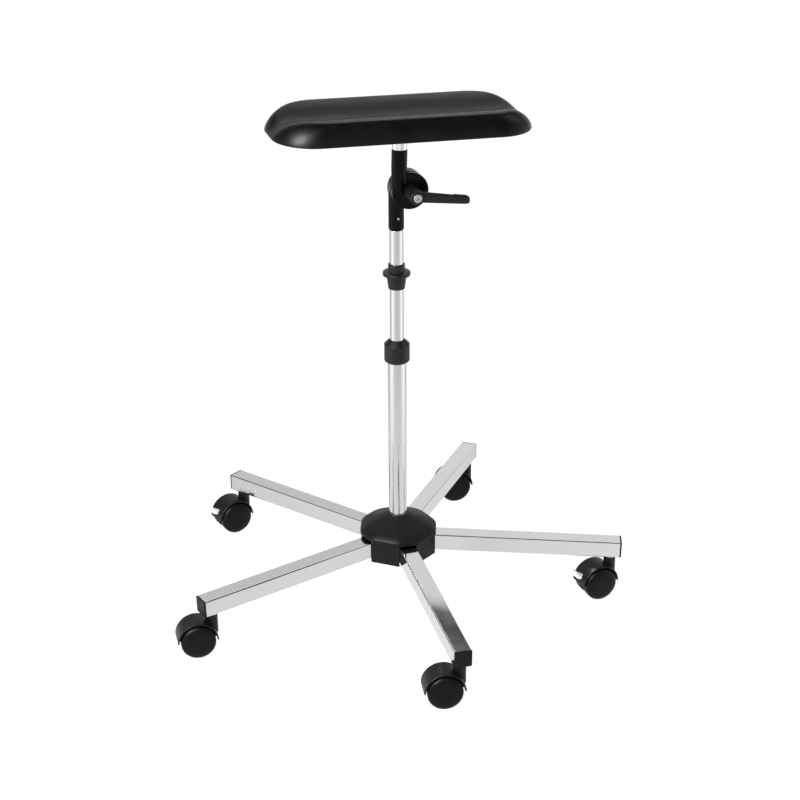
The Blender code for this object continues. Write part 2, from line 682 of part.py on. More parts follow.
def make_hood_mesh(braked):
    """One castor housing: the hood over both wheels, the web between them and the swivel neck."""
    outer = arc_at_axle(HOOD_RADIUS, HOOD_FRONT_ANGLE, HOOD_REAR_ANGLE, HOOD_ARC_STEPS)
    inner = arc_at_axle(WHEEL_ROOM, HOOD_REAR_ANGLE, HOOD_FRONT_ANGLE, HOOD_ARC_STEPS)
    hood = side_prism("castor_hood", outer + inner, HOOD_HALF_WIDTH)
    neck = cylinder("neck", NECK_RADIUS, AXLE_HEIGHT + NECK_FOOT, NECK_TOP, SMALL_FACETS)
    wheel_room = axle_cylinder("wheel_room", WHEEL_ROOM, HOOD_HALF_WIDTH, WHEEL_FACETS)
    neck = combined(neck, [wheel_room], "DIFFERENCE")
    middle = WHEEL_ROOM + HOOD_WALL / 2
    boss_radius = AXLE_RADIUS + GAP + AXLE_BOSS_WALL
    boss_start = HOOD_REAR_ANGLE + AXLE_BOSS_TURN
    boss_end = HOOD_FRONT_ANGLE + 2 * math.pi - AXLE_BOSS_TURN
    outline = arc_at_axle(middle, HOOD_FRONT_ANGLE, HOOD_REAR_ANGLE, HOOD_ARC_STEPS)
    outline += arc_at_axle(boss_radius, boss_start, boss_end, AXLE_BOSS_STEPS)
    web = side_prism("web", outline, WEB_HALF_WIDTH)
    solid = combined(hood, [web, neck], "UNION")
    pin_bore = cylinder(
        "pin_bore", SWIVEL_PIN_RADIUS + GAP, SWIVEL_PIN_END - GAP, NECK_TOP + CUT_MARGIN, SMALL_FACETS)
    cutters = [pin_bore, axle_cylinder("axle_bore", AXLE_RADIUS + GAP, HOOD_HALF_WIDTH, SMALL_FACETS)]
    if braked:
        cutters.append(brake_slot())
    return combined(solid, cutters, "DIFFERENCE")


def make_brake_mesh():
    """One brake lever: a pivot barrel, a stem through the hood and the foot tab outside it."""
    half_width = BRAKE_STEM_HALF_WIDTH
    barrel = cylinder("brake_lever", BRAKE_BARREL, -half_width, half_width, SMALL_FACETS)
    tab_start = BRAKE_PIVOT_DEPTH + BRAKE_TAB_STANDOFF
    middle = tab_start + BRAKE_TAB_LENGTH / 2
    half = BRAKE_THICKNESS / 2
    narrowed = half_width - WELD
    stem = box("brake_stem", (0, -narrowed, -half), (middle, narrowed, half))
    paddle = rounded_rectangle(BRAKE_TAB_LENGTH, 2 * BRAKE_TAB_HALF_WIDTH, BRAKE_TAB_CORNER, CORNER_STEPS)
    tab = prism("brake_tab", [(x + middle, y) for x, y in paddle], -half - WELD, half + WELD)
    return combined(moved(barrel, LAY_DOWN), [stem, tab], "UNION")


def make_wheel_mesh():
    """One wheel, cup-shaped, with its crowned face outwards along +Z."""
    reach = WHEEL_RADIUS / math.cos(math.pi / WHEEL_FACETS)
    bore = AXLE_RADIUS + GAP
    inside = reach - WHEEL_RIM
    hub_radius = bore + WHEEL_HUB_WALL
    flat = reach * WHEEL_FLAT_SHARE
    profile = [(0, WHEEL_CROWN)]
    for step in range(WHEEL_CROWN_STEPS):
        turn = math.pi / 2 * (step + 1) / WHEEL_CROWN_STEPS
        radius = flat + (reach - flat) * math.sin(turn)
        profile.append((radius, WHEEL_RIM_FACE + WHEEL_CROWN_RISE * math.cos(turn)))
    profile += [
        (reach, WHEEL_INNER_FACE),
        (inside, WHEEL_INNER_FACE),
        (inside, WHEEL_RIM_FACE - WHEEL_WALL / 2),
        (hub_radius, WHEEL_CROWN - WHEEL_WALL),
        (hub_radius, WHEEL_INNER_FACE),
        (bore, WHEEL_INNER_FACE),
        (bore, WHEEL_BORE_END),
        (0, WHEEL_BORE_END)]
    return turned("wheel", profile, WHEEL_FACETS)


def make_castors(stand, finishes):
    """The five twin-wheel castors, two of them with brake levers."""
    stem_mesh = make_stem_mesh()
    hood_meshes = {braked: make_hood_mesh(braked) for braked in (False, True)}
    axle_mesh = moved(
        cylinder("castor_axle", AXLE_RADIUS, -AXLE_HALF_LENGTH, AXLE_HALF_LENGTH, SMALL_FACETS), LAY_DOWN)
    wheel_mesh = make_wheel_mesh()
    brake_mesh = make_brake_mesh()
    axle_place = (-CASTOR_TRAIL, 0, AXLE_HEIGHT)
    right = (math.pi / 2, 0, 0)
    left = (-math.pi / 2, 0, 0)
    for index, turn in enumerate(CASTOR_TURNS):
        number = index + 1
        socket = make_frame(f"castor_socket_{number}", stand)
        socket.matrix_local = castor_matrix(index)
        make_piece(f"castor_stem_{number}", stem_mesh, finishes["steel"], socket)
        frame = make_frame(f"castor_frame_{number}", stand, socket.location, (0, 0, turn))
        braked = index in BRAKED_ARMS
        make_piece(f"castor_hood_{number}", hood_meshes[braked], finishes["castor"], frame)
        make_piece(f"castor_axle_{number}", axle_mesh, finishes["steel"], frame, axle_place)
        make_piece(f"wheel_right_{number}", wheel_mesh, finishes["castor"], frame, axle_place, right)
        make_piece(f"wheel_left_{number}", wheel_mesh, finishes["castor"], frame, axle_place, left)
        if braked:
            pivot = make_frame(f"brake_frame_{number}", frame)
            pivot.matrix_local = brake_matrix()
            make_piece(f"brake_lever_{number}", brake_mesh, finishes["brake"], pivot)


# Column

def make_outer_column(stand, finishes):
    """The fixed tube, and the plug and bolt that hold it in the hub."""
    tube = ring("outer_tube", OUTER_BORE, OUTER_TUBE_RADIUS, OUTER_TUBE_BOTTOM, OUTER_TUBE_TOP, COLUMN_FACETS)
    make_piece("outer_tube", tube, finishes["chrome"], stand)
    plug_radius = OUTER_BORE - GAP
    thread = COLUMN_BOLT_RADIUS + GAP
    plug = turned("column_plug", [
        (0, COLUMN_PLUG_TOP),
        (plug_radius, COLUMN_PLUG_TOP),
        (plug_radius, OUTER_TUBE_BOTTOM),
        (thread, OUTER_TUBE_BOTTOM),
        (thread, COLUMN_BOLT_END + GAP),
        (0, COLUMN_BOLT_END + GAP)], COLUMN_FACETS)
    make_piece("column_plug", plug, finishes["steel"], stand)
    head_top = BOLT_SEAT - GAP
    bolt = turned("column_bolt", [
        (0, COLUMN_BOLT_END),
        (COLUMN_BOLT_RADIUS, COLUMN_BOLT_END),
        (COLUMN_BOLT_RADIUS, head_top),
        (COLUMN_BOLT_HEAD_RADIUS, head_top),
        (COLUMN_BOLT_HEAD_RADIUS, head_top - COLUMN_BOLT_HEAD),
        (0, head_top - COLUMN_BOLT_HEAD)], SMALL_FACETS)
    make_piece("column_bolt", bolt, finishes["steel"], stand)


def make_clamp_collar(stand, finishes):
    """The collet that grips the sliding tube, and the screwed collar that tightens it."""
    collet = turned("collet", [
        (SLIDE_BORE, COLLET_BASE - COLLET_SLEEVE),
        (OUTER_BORE - GAP, COLLET_BASE - COLLET_SLEEVE),
        (OUTER_BORE - GAP, COLLET_BASE),
        (OUTER_TUBE_RADIUS, COLLET_BASE),
        (OUTER_TUBE_RADIUS, COLLET_SHOULDER),
        (SLIDE_BORE + COLLET_TIP_WALL, COLLET_TOP),
        (SLIDE_BORE, COLLET_TOP)], COLUMN_FACETS)
    make_piece("collet", collet, finishes["nylon"], stand)
    shoulder = COLLAR_TOP - COLLAR_CONE
    foot = shoulder - COLLAR_BODY
    bore = OUTER_TUBE_RADIUS + GAP
    lip = SLIDE_BORE + GAP
    radius = OUTER_TUBE_RADIUS + COLLAR_WALL
    collar = turned("clamp_collar", [
        (bore, foot - COLLAR_CHAMFER),
        (bore + COLLAR_FOOT_WALL, foot - COLLAR_CHAMFER),
        (radius, foot),
        (radius, shoulder),
        (lip + COLLAR_LIP_WALL, COLLAR_TOP),
        (lip, COLLAR_TOP),
        (lip, COLLAR_TOP - COLLAR_LIP),
        (lip + COLLET_TIP_WALL, COLLAR_TOP - COLLAR_LIP),
        (bore, COLLET_SHOULDER + COLLAR_ROOM)], COLUMN_FACETS)
    make_piece("clamp_collar", collar, finishes["nylon"], stand)


def make_mast(stand, finishes):
    """The sliding tube with its guide bush, stop collar and top plug."""
    mast = make_frame("mast_frame", stand)
    tube = ring("inner_tube", INNER_BORE, INNER_TUBE_RADIUS, INNER_TUBE_BOTTOM, INNER_TUBE_TOP, COLUMN_FACETS)
    make_piece("inner_tube", tube, finishes["chrome"], mast)
    seat = INNER_TUBE_BOTTOM - GAP
    bush = turned("guide_bush", [
        (INNER_BORE, seat - BUSH_FLANGE),
        (OUTER_BORE - GAP, seat - BUSH_FLANGE),
        (OUTER_BORE - GAP, seat + BUSH_HEIGHT),
        (SLIDE_BORE, seat + BUSH_HEIGHT),
        (SLIDE_BORE, seat),
        (INNER_BORE, seat)], COLUMN_FACETS)
    make_piece("guide_bush", bush, finishes["nylon"], mast)
    body_top = STOP_FOOT + STOP_BODY
    flange_low = body_top + STOP_SLOPE
    flange_top = flange_low + STOP_FLANGE
    neck_base = flange_top + STOP_SLOPE / 2
    stop = turned("stop_collar", [
        (SLIDE_BORE, STOP_FOOT),
        (SLIDE_BORE + STOP_FOOT_WALL, STOP_FOOT),
        (SLIDE_BORE + STOP_BODY_WALL, body_top),
        (SLIDE_BORE + STOP_FLANGE_OVERHANG, flange_low),
        (SLIDE_BORE + STOP_FLANGE_OVERHANG, flange_top),
        (SLIDE_BORE + STOP_NECK_BASE_WALL, neck_base),
        (SLIDE_BORE + STOP_NECK_WALL, neck_base + STOP_NECK),
        (SLIDE_BORE, neck_base + STOP_NECK)], COLUMN_FACETS)
    make_piece("stop_collar", stop, finishes["nylon"], mast)
    plug_radius = INNER_BORE - GAP
    plug = turned("tube_plug", [
        (0, INNER_TUBE_TOP - PLUG_DEPTH),
        (plug_radius, INNER_TUBE_TOP - PLUG_DEPTH),
        (plug_radius, INNER_TUBE_TOP),
        (STUB_RADIUS, INNER_TUBE_TOP),
        (STUB_RADIUS, INNER_TUBE_TOP + STUB_DEPTH),
        (0, INNER_TUBE_TOP + STUB_DEPTH)], COLUMN_FACETS)
    make_piece("tube_plug", plug, finishes["steel"], mast)


# Tilting joint. In its frames X runs across the joint, and -Y is the clamp axis, towards the lever.

def joint_stem(name, radius, offset, low, high):
    """An upright cylinder on the axis of a joint half's stem, beside the clamp axis."""
    stem = cylinder(name, radius, low, high, COLUMN_FACETS)
    return moved(stem, Matrix.Translation((-JOINT_OFFSET, -offset, 0)))


def clamp_hole():
    """The clamp bolt's hole through a joint half."""
    reach = FRONT_FACE + CUT_MARGIN
    return moved(cylinder("clamp_hole", CLAMP_BOLT_RADIUS + GAP, -reach, reach, SMALL_FACETS), LAY_DOWN)


def set_screw_hole(offset, height, facing):
    """A set screw's hole, from a stem's outside to its bore. Facing is 1 towards the lever."""
    reach = JOINT_STEM_RADIUS + CUT_MARGIN
    hole = cylinder("set_screw_hole", SET_SCREW_RADIUS + GAP, 0, reach, SMALL_FACETS)
    turn = Matrix.Rotation(facing * math.pi / 2, 4, "X")
    return moved(hole, Matrix.Translation((-JOINT_OFFSET, -offset, height)) @ turn)


def make_set_screw(name, frame, offset, height, facing, finishes):
    """A set screw that bears on a stub."""
    screw = cylinder(name, SET_SCREW_RADIUS, STUB_RADIUS + GAP, JOINT_STEM_RADIUS - GAP, SMALL_FACETS)
    place = (-JOINT_OFFSET, -offset, height)
    make_piece(name, screw, finishes["steel"], frame, place, (facing * math.pi / 2, 0, 0))


def make_lower_joint(frame, finishes):
    """The joint half on the mast, its set screw and the clamp bolt."""
    disc = turned("joint_lower", [
        (0, -REAR_FACE),
        (JOINT_DISC_RADIUS - JOINT_EDGE, -REAR_FACE),
        (JOINT_DISC_RADIUS, JOINT_EDGE - REAR_FACE),
        (JOINT_DISC_RADIUS, LOWER_FACE),
        (0, LOWER_FACE)], DISC_FACETS)
    stem = joint_stem("lower_stem", JOINT_STEM_RADIUS, 0, -JOINT_REACH, 0)
    half = combined(moved(disc, LAY_DOWN), [stem], "UNION")
    screw_height = SET_SCREW_INSET - JOINT_REACH
    bore = joint_stem(
        "stub_bore", STUB_RADIUS + GAP, 0, -JOINT_REACH - CUT_MARGIN, STUB_DEPTH + GAP - JOINT_REACH)
    cutters = [bore, clamp_hole(), set_screw_hole(0, screw_height, 1)]
    make_piece("joint_lower", combined(half, cutters, "DIFFERENCE"), finishes["casting"], frame)
    make_set_screw("set_screw_lower", frame, 0, screw_height, 1, finishes)
    seat = -REAR_FACE - GAP
    head = seat - CLAMP_HEAD
    tip = THREAD_END - GAP
    bolt = turned("clamp_bolt", [
        (0, head),
        (CLAMP_HEAD_RADIUS - CLAMP_HEAD_CROWN, head),
        (CLAMP_HEAD_RADIUS, head + CLAMP_HEAD_CROWN),
        (CLAMP_HEAD_RADIUS, seat),
        (CLAMP_BOLT_RADIUS, seat),
        (CLAMP_BOLT_RADIUS, tip),
        (0, tip)], SMALL_FACETS)
    make_piece("clamp_bolt", moved(bolt, LAY_DOWN), finishes["steel"], frame)


def make_upper_joint(frame, finishes):
    """The tilting joint half, its set screw and the chromed spigot below the pad."""
    disc = turned("joint_upper", [
        (0, UPPER_FACE),
        (JOINT_DISC_RADIUS, UPPER_FACE),
        (JOINT_DISC_RADIUS, FRONT_FACE - JOINT_EDGE),
        (JOINT_DISC_RADIUS - JOINT_EDGE, FRONT_FACE),
        (0, FRONT_FACE)], DISC_FACETS)
    stem = joint_stem("upper_stem", JOINT_STEM_RADIUS, UPPER_STEM_OFFSET, 0, JOINT_REACH)
    clear = JOINT_DISC_RADIUS + JOINT_SWEEP_ROOM
    parting = UPPER_FACE + JOINT_EDGE / 2
    behind = box("behind_parting", (-2 * clear, -parting, -clear), (2 * clear, 2 * clear, clear))
    half = combined(moved(disc, LAY_DOWN), [combined(stem, [behind], "DIFFERENCE")], "UNION")
    screw_height = JOINT_REACH - SET_SCREW_INSET
    bore = joint_stem(
        "stub_bore", STUB_RADIUS + GAP, UPPER_STEM_OFFSET, JOINT_REACH - STUB_DEPTH - GAP,
        JOINT_REACH + CUT_MARGIN)
    spot_face = cylinder(
        "spot_face", LEVER_HUB_RADIUS + SPOT_FACE_ROOM, SPOT_FACE, FRONT_FACE + JOINT_STEM_RADIUS,
        COLUMN_FACETS)
    cutters = [bore, clamp_hole(), moved(spot_face, LAY_DOWN)]
    cutters.append(set_screw_hole(UPPER_STEM_OFFSET, screw_height, -1))
    make_piece("joint_upper", combined(half, cutters, "DIFFERENCE"), finishes["casting"], frame)
    make_set_screw("set_screw_upper", frame, UPPER_STEM_OFFSET, screw_height, -1, finishes)
    spigot = turned("spigot", [
        (0, SPIGOT_BASE - STUB_DEPTH),
        (STUB_RADIUS, SPIGOT_BASE - STUB_DEPTH),
        (STUB_RADIUS, SPIGOT_BASE),
        (SPIGOT_RADIUS, SPIGOT_BASE),
        (SPIGOT_RADIUS, SPIGOT_BASE + SPIGOT_LENGTH),
        (0, SPIGOT_BASE + SPIGOT_LENGTH)], COLUMN_FACETS)
    make_piece("spigot", spigot, finishes["chrome"], frame, (-JOINT_OFFSET, -UPPER_STEM_OFFSET, 0))


def lever_section(distance, depth, thickness, height, step):
    """A rounded section across the lever's arm, with its top raised by a step."""
    outline = rounded_rectangle(thickness, depth + step, LEVER_CORNER_SHARE * thickness, CORNER_STEPS)
    return [(distance, y - height, z + step / 2) for y, z in outline]


def make_lever_arm():
    """The lever's tapered arm, which slants away from the joint, with a thumb step and a rounded tip."""
    start = LEVER_NOSE - LEVER_ARM_BELOW_NOSE
    roll = LEVER_TIP_THICKNESS / 2
    straight = LEVER_REACH - roll
    thumb = straight - LEVER_THUMB_LENGTH
    sections = []
    for distance, step in (
            (0, 0), (thumb / 2, 0), (thumb, 0),
            (thumb + LEVER_THUMB_RAMP, LEVER_THUMB_STEP), (straight, LEVER_THUMB_STEP)):
        share = distance / straight
        depth = LEVER_ROOT_DEPTH + (LEVER_TIP_DEPTH - LEVER_ROOT_DEPTH) * share
        thickness = LEVER_ROOT_THICKNESS + (LEVER_TIP_THICKNESS - LEVER_ROOT_THICKNESS) * share
        sections.append(lever_section(distance, depth, thickness, start + LEVER_RISE * share, step))
    for step in range(1, LEVER_TIP_STEPS + 1):
        turn = math.pi / 2 * step / (LEVER_TIP_STEPS + 1)
        narrowed = math.cos(turn)
        sections.append(lever_section(
            straight + roll * math.sin(turn),
            LEVER_TIP_DEPTH - 2 * roll * (1 - narrowed),
            LEVER_TIP_THICKNESS * narrowed,
            start + LEVER_RISE,
            LEVER_THUMB_STEP * narrowed))
    return lofted("lever_arm", sections)


def make_lever(frame, finishes):
    """The adjustable clamping lever: its threaded insert, the handle and the screw."""
    screw_bore = LEVER_SCREW_RADIUS + GAP
    thread = CLAMP_BOLT_RADIUS + GAP
    flange_radius = INSERT_RADIUS + INSERT_FLANGE_OVERHANG
    insert = turned("lever_insert", [
        (thread, INSERT_BASE),
        (flange_radius, INSERT_BASE),
        (flange_radius, INSERT_BASE + INSERT_FLANGE),
        (INSERT_RADIUS, INSERT_BASE + INSERT_FLANGE),
        (INSERT_RADIUS, INSERT_TOP),
        (screw_bore, INSERT_TOP),
        (screw_bore, THREAD_END),
        (thread, THREAD_END)], SMALL_FACETS)
    make_piece("lever_insert", moved(insert, LAY_DOWN), finishes["steel"], frame)
    hub = turned("lever", [
        (0, LEVER_BASE),
        (LEVER_HUB_RADIUS, LEVER_BASE),
        (LEVER_NOSE_RADIUS, LEVER_NOSE - LEVER_NOSE_EDGE),
        (LEVER_NOSE_RADIUS - LEVER_NOSE_EDGE, LEVER_NOSE),
        (0, LEVER_NOSE)], COLUMN_FACETS)
    handle = combined(moved(hub, LAY_DOWN), [make_lever_arm()], "UNION")
    cutters = [
        cylinder("socket", INSERT_RADIUS + GAP, LEVER_BASE - CUT_MARGIN, LEVER_SHOULDER_BASE, SMALL_FACETS),
        cylinder("screw_hole", screw_bore, LEVER_BASE, LEVER_NOSE, SMALL_FACETS),
        cylinder("head_bore", LEVER_HEAD_BORE, LEVER_SHOULDER_TOP, LEVER_NOSE + CUT_MARGIN, SMALL_FACETS)]
    handle = combined(handle, [moved(cutter, LAY_DOWN) for cutter in cutters], "DIFFERENCE")
    make_piece("lever", handle, finishes["casting"], frame)
    screw = turned("lever_screw", [
        (0, THREAD_END + GAP),
        (LEVER_SCREW_RADIUS, THREAD_END + GAP),
        (LEVER_SCREW_RADIUS, SCREW_SEAT),
        (LEVER_SCREW_HEAD_RADIUS, SCREW_SEAT),
        (LEVER_SCREW_HEAD_RADIUS, LEVER_NOSE),
        (0, LEVER_NOSE)], SMALL_FACETS)
    make_piece("lever_screw", moved(screw, LAY_DOWN), finishes["steel"], frame)


def spring_points():
    """Points along the wire of the lever's spring, on its middle line."""
    base = LEVER_SHOULDER_TOP + GAP + SPRING_WIRE
    pitch = (SPRING_LENGTH - 2 * SPRING_WIRE) / SPRING_TURNS
    points = []
    for step in range(SPRING_TURNS * SPRING_POINTS_PER_TURN + 1):
        turn = step / SPRING_POINTS_PER_TURN
        angle = 2 * math.pi * turn
        x = SPRING_RADIUS * math.cos(angle)
        z = SPRING_RADIUS * math.sin(angle)
        points.append(Vector((x, -base - pitch * turn, z)))
    return points


def least_gap(points, wire, skip):
    """The least gap of a coiled wire to itself, between points at least skip steps apart."""
    spans = []
    for index, point in enumerate(points):
        spans += [(point - other).length for other in points[index + skip:]]
    return min(spans) - 2 * wire


def make_lever_spring(frame, finishes):
    """The lever's return spring at its compressed length, standing on the shoulder in the handle."""
    curve = bpy.data.curves.new("lever_spring", "CURVE")
    curve.dimensions = "3D"
    curve.bevel_depth = SPRING_WIRE
    curve.bevel_resolution = 0
    curve.use_fill_caps = True
    spline = curve.splines.new("POLY")
    places = spring_points()
    spline.points.add(len(places) - 1)
    for point, place in zip(spline.points, places):
        point.co = (*place, 1)
    gap = least_gap(places, SPRING_WIRE, SPRING_POINTS_PER_TURN // 2)
    print(f"lever_spring: least gap to itself {gap / MM:.2f} mm")
    spring = bpy.data.objects.new("lever_spring", curve)
    bpy.context.scene.collection.objects.link(spring)
    spring.parent = frame
    curve.materials.append(finishes["steel"])


# Pad

def pad_height(across, rim):
    """Height of the pad's top, from its distance off the middle line and its place on the edge roll."""
    roll = max(0, 1 - (1 - min(rim, 1)) ** PAD_EDGE_POWER) ** (1 / PAD_EDGE_POWER)
    share = min(abs(across) / (PAD_CREST_SPACING / 2), 1)
    trough = PAD_TROUGH * math.cos(share * math.pi / 2) ** 2
    return roll * (PAD_CREST - trough)


def pad_ring(share):
    """A ring of the pad's top, from its lower edge at 0 to the middle line at 1."""
    inset = share * PAD_WIDTH / 2
    along = 1 - 2 * inset * PAD_END_STRETCH / PAD_LENGTH
    across = 1 - share
    points = []
    for x, y in rounded_rectangle(PAD_LENGTH, PAD_WIDTH, min(PAD_CORNER, PAD_WIDTH / 2), PAD_CORNER_STEPS):
        height = pad_height(y * across, inset / PAD_SHOULDER)
        points.append((x * along, y * across, PAD_BASE + height))
    return points


def make_pad(frame, finishes):
    """The pad's steel plate and the moulded pad with its lengthwise trough."""
    place = (-JOINT_OFFSET - PAD_SHIFT, -UPPER_STEM_OFFSET, 0)
    outline = rounded_rectangle(PLATE_LENGTH, PLATE_WIDTH, PLATE_CORNER, CORNER_STEPS)
    plate = prism("pad_plate", outline, PLATE_BASE, PLATE_BASE + PLATE_THICKNESS)
    make_piece("pad_plate", plate, finishes["steel"], frame, place)
    shares = [PAD_LAST_RING * (step / PAD_RINGS) ** PAD_RING_CROWDING for step in range(PAD_RINGS + 1)]
    pad = lofted("pad", [pad_ring(share) for share in shares])
    make_piece("pad", pad, finishes["pad"], frame, place)


def make_head(stand, finishes):
    """Everything above the column: the clamp joint, the lever and the pad."""
    centre = (
        JOINT_OFFSET * math.cos(JOINT_HEADING),
        JOINT_OFFSET * math.sin(JOINT_HEADING),
        JOINT_HEIGHT)
    fixed = make_frame("joint_frame", stand, centre, (0, 0, JOINT_HEADING))
    tilting = make_frame("tilt_frame", stand, centre, (0, JOINT_TILT, JOINT_HEADING))
    lever = make_frame("lever_frame", stand, centre, (0, LEVER_TURN, JOINT_HEADING))
    make_lower_joint(fixed, finishes)
    make_upper_joint(tilting, finishes)
    make_lever(lever, finishes)
    make_lever_spring(lever, finishes)
    make_pad(tilting, finishes)


def centre_on_origin(stand):
    """Put the middle of the stand's box at X = Y = 0. The wheels already stand on Z = 0."""
    bpy.context.view_layer.update()
    corners = []
    for piece in bpy.context.scene.objects:
        if piece.type == "MESH":
            corners += [piece.matrix_world @ vertex.co for vertex in piece.data.vertices]
    for axis in (0, 1):
        low = min(corner[axis] for corner in corners)
        high = max(corner[axis] for corner in corners)
        stand.location[axis] = -(low + high) / 2


def main():
    """Build the stand in an empty scene."""
    for leftover in list(bpy.data.objects):
        bpy.data.objects.remove(leftover)
    finishes = make_finishes()
    stand = make_frame("stand", None)
    make_arms(stand, finishes)
    make_hub_body(stand, finishes)
    make_hub_cover(stand, finishes)
    make_castors(stand, finishes)
    make_outer_column(stand, finishes)
    make_clamp_collar(stand, finishes)
    make_mast(stand, finishes)
    make_head(stand, finishes)
    centre_on_origin(stand)


main()
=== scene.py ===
"""Looks of the arm and leg rest stand, laid out as a Blender add-on and run as a script.

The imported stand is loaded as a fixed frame. Each operator makes one piece, or one group of like pieces,
in place, gives it its finish and lets it ride on the body that carries it. Lengths are in metres, +Z up.
"""

import json
import math

import bmesh
import bpy
from mathutils import Matrix, Vector


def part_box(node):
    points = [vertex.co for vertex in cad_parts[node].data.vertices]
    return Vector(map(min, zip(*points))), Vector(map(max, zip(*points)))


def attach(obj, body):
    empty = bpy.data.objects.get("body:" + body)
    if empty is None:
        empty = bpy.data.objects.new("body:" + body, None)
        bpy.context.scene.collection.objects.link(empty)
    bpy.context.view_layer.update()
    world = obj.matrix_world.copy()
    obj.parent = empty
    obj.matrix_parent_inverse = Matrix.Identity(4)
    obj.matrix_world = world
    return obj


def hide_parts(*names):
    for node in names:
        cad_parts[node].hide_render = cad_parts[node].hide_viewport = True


bl_info = {
    "name": "Rest stand looks",
    "version": (1, 0, 0),
    "blender": (4, 5, 0),
    "location": "View3D > Sidebar > Rest stand",
    "description": "Dresses the packed arm and leg rest stand in its visible shapes and finishes",
    "category": "Object",
}

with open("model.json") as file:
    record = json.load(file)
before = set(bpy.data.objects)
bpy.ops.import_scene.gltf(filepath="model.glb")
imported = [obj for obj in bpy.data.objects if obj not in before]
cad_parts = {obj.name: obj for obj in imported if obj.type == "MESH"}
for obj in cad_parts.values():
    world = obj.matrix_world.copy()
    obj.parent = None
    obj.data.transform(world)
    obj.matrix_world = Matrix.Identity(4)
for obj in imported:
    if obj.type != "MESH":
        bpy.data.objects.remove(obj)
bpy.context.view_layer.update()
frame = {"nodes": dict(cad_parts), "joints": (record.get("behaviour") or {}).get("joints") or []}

MM = 0.001
# Points closer than WELD are merged, and a cutter reaches past what it cuts by CUT_MARGIN.
WELD = 0.01 * MM
CUT_MARGIN = 5 * MM
FULL_TURN = 2 * math.pi
UP = Vector((0, 0, 1))
SHARP_ANGLE = math.radians(30)
ARM_COUNT = 5
ARM_NUMBERS = range(1, ARM_COUNT + 1)

# How finely turned shapes, rounded corners and rounded edges are drawn.
TURNED_STEPS = 96
SMALL_STEPS = 48
CORNER_STEPS = 6
EDGE_STEPS = 3
FINE_EDGE_STEPS = 4

# Pieces along -Y are modelled along +Z and then laid down. Pieces along +Y are laid the other way.
LAY_DOWN = Matrix.Rotation(math.pi / 2, 4, "X")
LAY_LEFT = Matrix.Rotation(-math.pi / 2, 4, "X")


# Properties

def linear(code):
    """The linear red, green and blue of an sRGB hex code."""
    channels = [int(code[start:start + 2], 16) / 255 for start in (0, 2, 4)]
    return [c / 12.92 if c <= 0.04045 else ((c + 0.055) / 1.055) ** 2.4 for c in channels]


def length(name, description, millimetres):
    """A length property, with its default given in millimetres."""
    return bpy.props.FloatProperty(
        name=name, description=description, default=millimetres * MM, unit="LENGTH", precision=4)


def angle(name, description, degrees):
    """An angle property, with its default given in degrees."""
    return bpy.props.FloatProperty(
        name=name, description=description, default=math.radians(degrees), unit="ROTATION")


def colour(name, description, code):
    """A colour property, with its default given as an sRGB hex code."""
    return bpy.props.FloatVectorProperty(
        name=name, description=description, default=linear(code), size=3, min=0, max=1, subtype="COLOR")


def strength(name, description, value):
    """A light's strength, relative to a white surface at full exposure."""
    return bpy.props.FloatProperty(name=name, description=description, default=value, min=0)


class Fitted:
    """The gap that every group of fitted pieces has"""
    seam: length("Seam", "Gap between fitted pieces", 0.3)


class ArmSizes(Fitted, bpy.types.PropertyGroup):
    """Sizes of the star's square tubes and end caps"""
    width: length("Width", "Outer width and height of the square tube", 25)
    wall: length("Wall", "Wall of the tube", 1.5)
    corner: length("Corner", "Outer corner radius of the tube", 1.8)
    root: length("Root", "Distance of the tube's inner end from the column's axis", 27)
    reach: length("Reach", "Distance of the tube's outer end from the column's axis", 330.6)
    slope: angle("Slope", "Fall of the tubes towards the castors", 1.75)
    cap_flange: length("Cap flange", "Thickness of an end cap outside the tube", 1.5)
    cap_pillow: length("Cap pillow", "Swell of an end cap's face", 0.8)
    cap_plug: length("Cap plug", "Length of an end cap inside the tube", 28)


class HubSizes(bpy.types.PropertyGroup):
    """Sizes of the hub block and its cover"""
    flat: length("Flat", "Distance of the block's faces from the column's axis", 53)
    arm_seat: length("Arm seat", "Length of the block's floor under the root of an arm", 15)
    edge: length("Edge", "Edge radius of the moulded block", 0.9)
    cover_flat: length("Cover flat", "Distance of the cover's faces from the column's axis", 55.5)
    cover_over_arm: length("Cover over arm", "How much further the cover reaches over the arms", 1.5)
    cover_rim: length("Cover rim", "Width of the cover's lower rim", 5)
    cover_skirt: length("Cover skirt", "Height of the cover's upright skirt", 4.5)
    cover_brim: length("Cover brim", "Rise of the cover's rounded brim", 4.4)
    cover_roll: length("Cover roll", "Width of the cover's rounded brim", 12)
    cover_wall: length("Cover wall", "Wall of the cover", 2.6)
    cover_edge: length("Cover edge", "Edge radius of the cover", 0.7)
    bolt_recess: length("Bolt recess", "Radius of the recess under the hub", 9)
    bolt_head: length("Bolt head", "Width of the column bolt's hexagon head", 13)
    bolt_head_height: length("Bolt head height", "Height of the column bolt's head", 5)
    bolt: length("Bolt", "Radius of the column bolt", 4)
    recess_height: length("Recess height", "Height of the recess under the hub", 6)


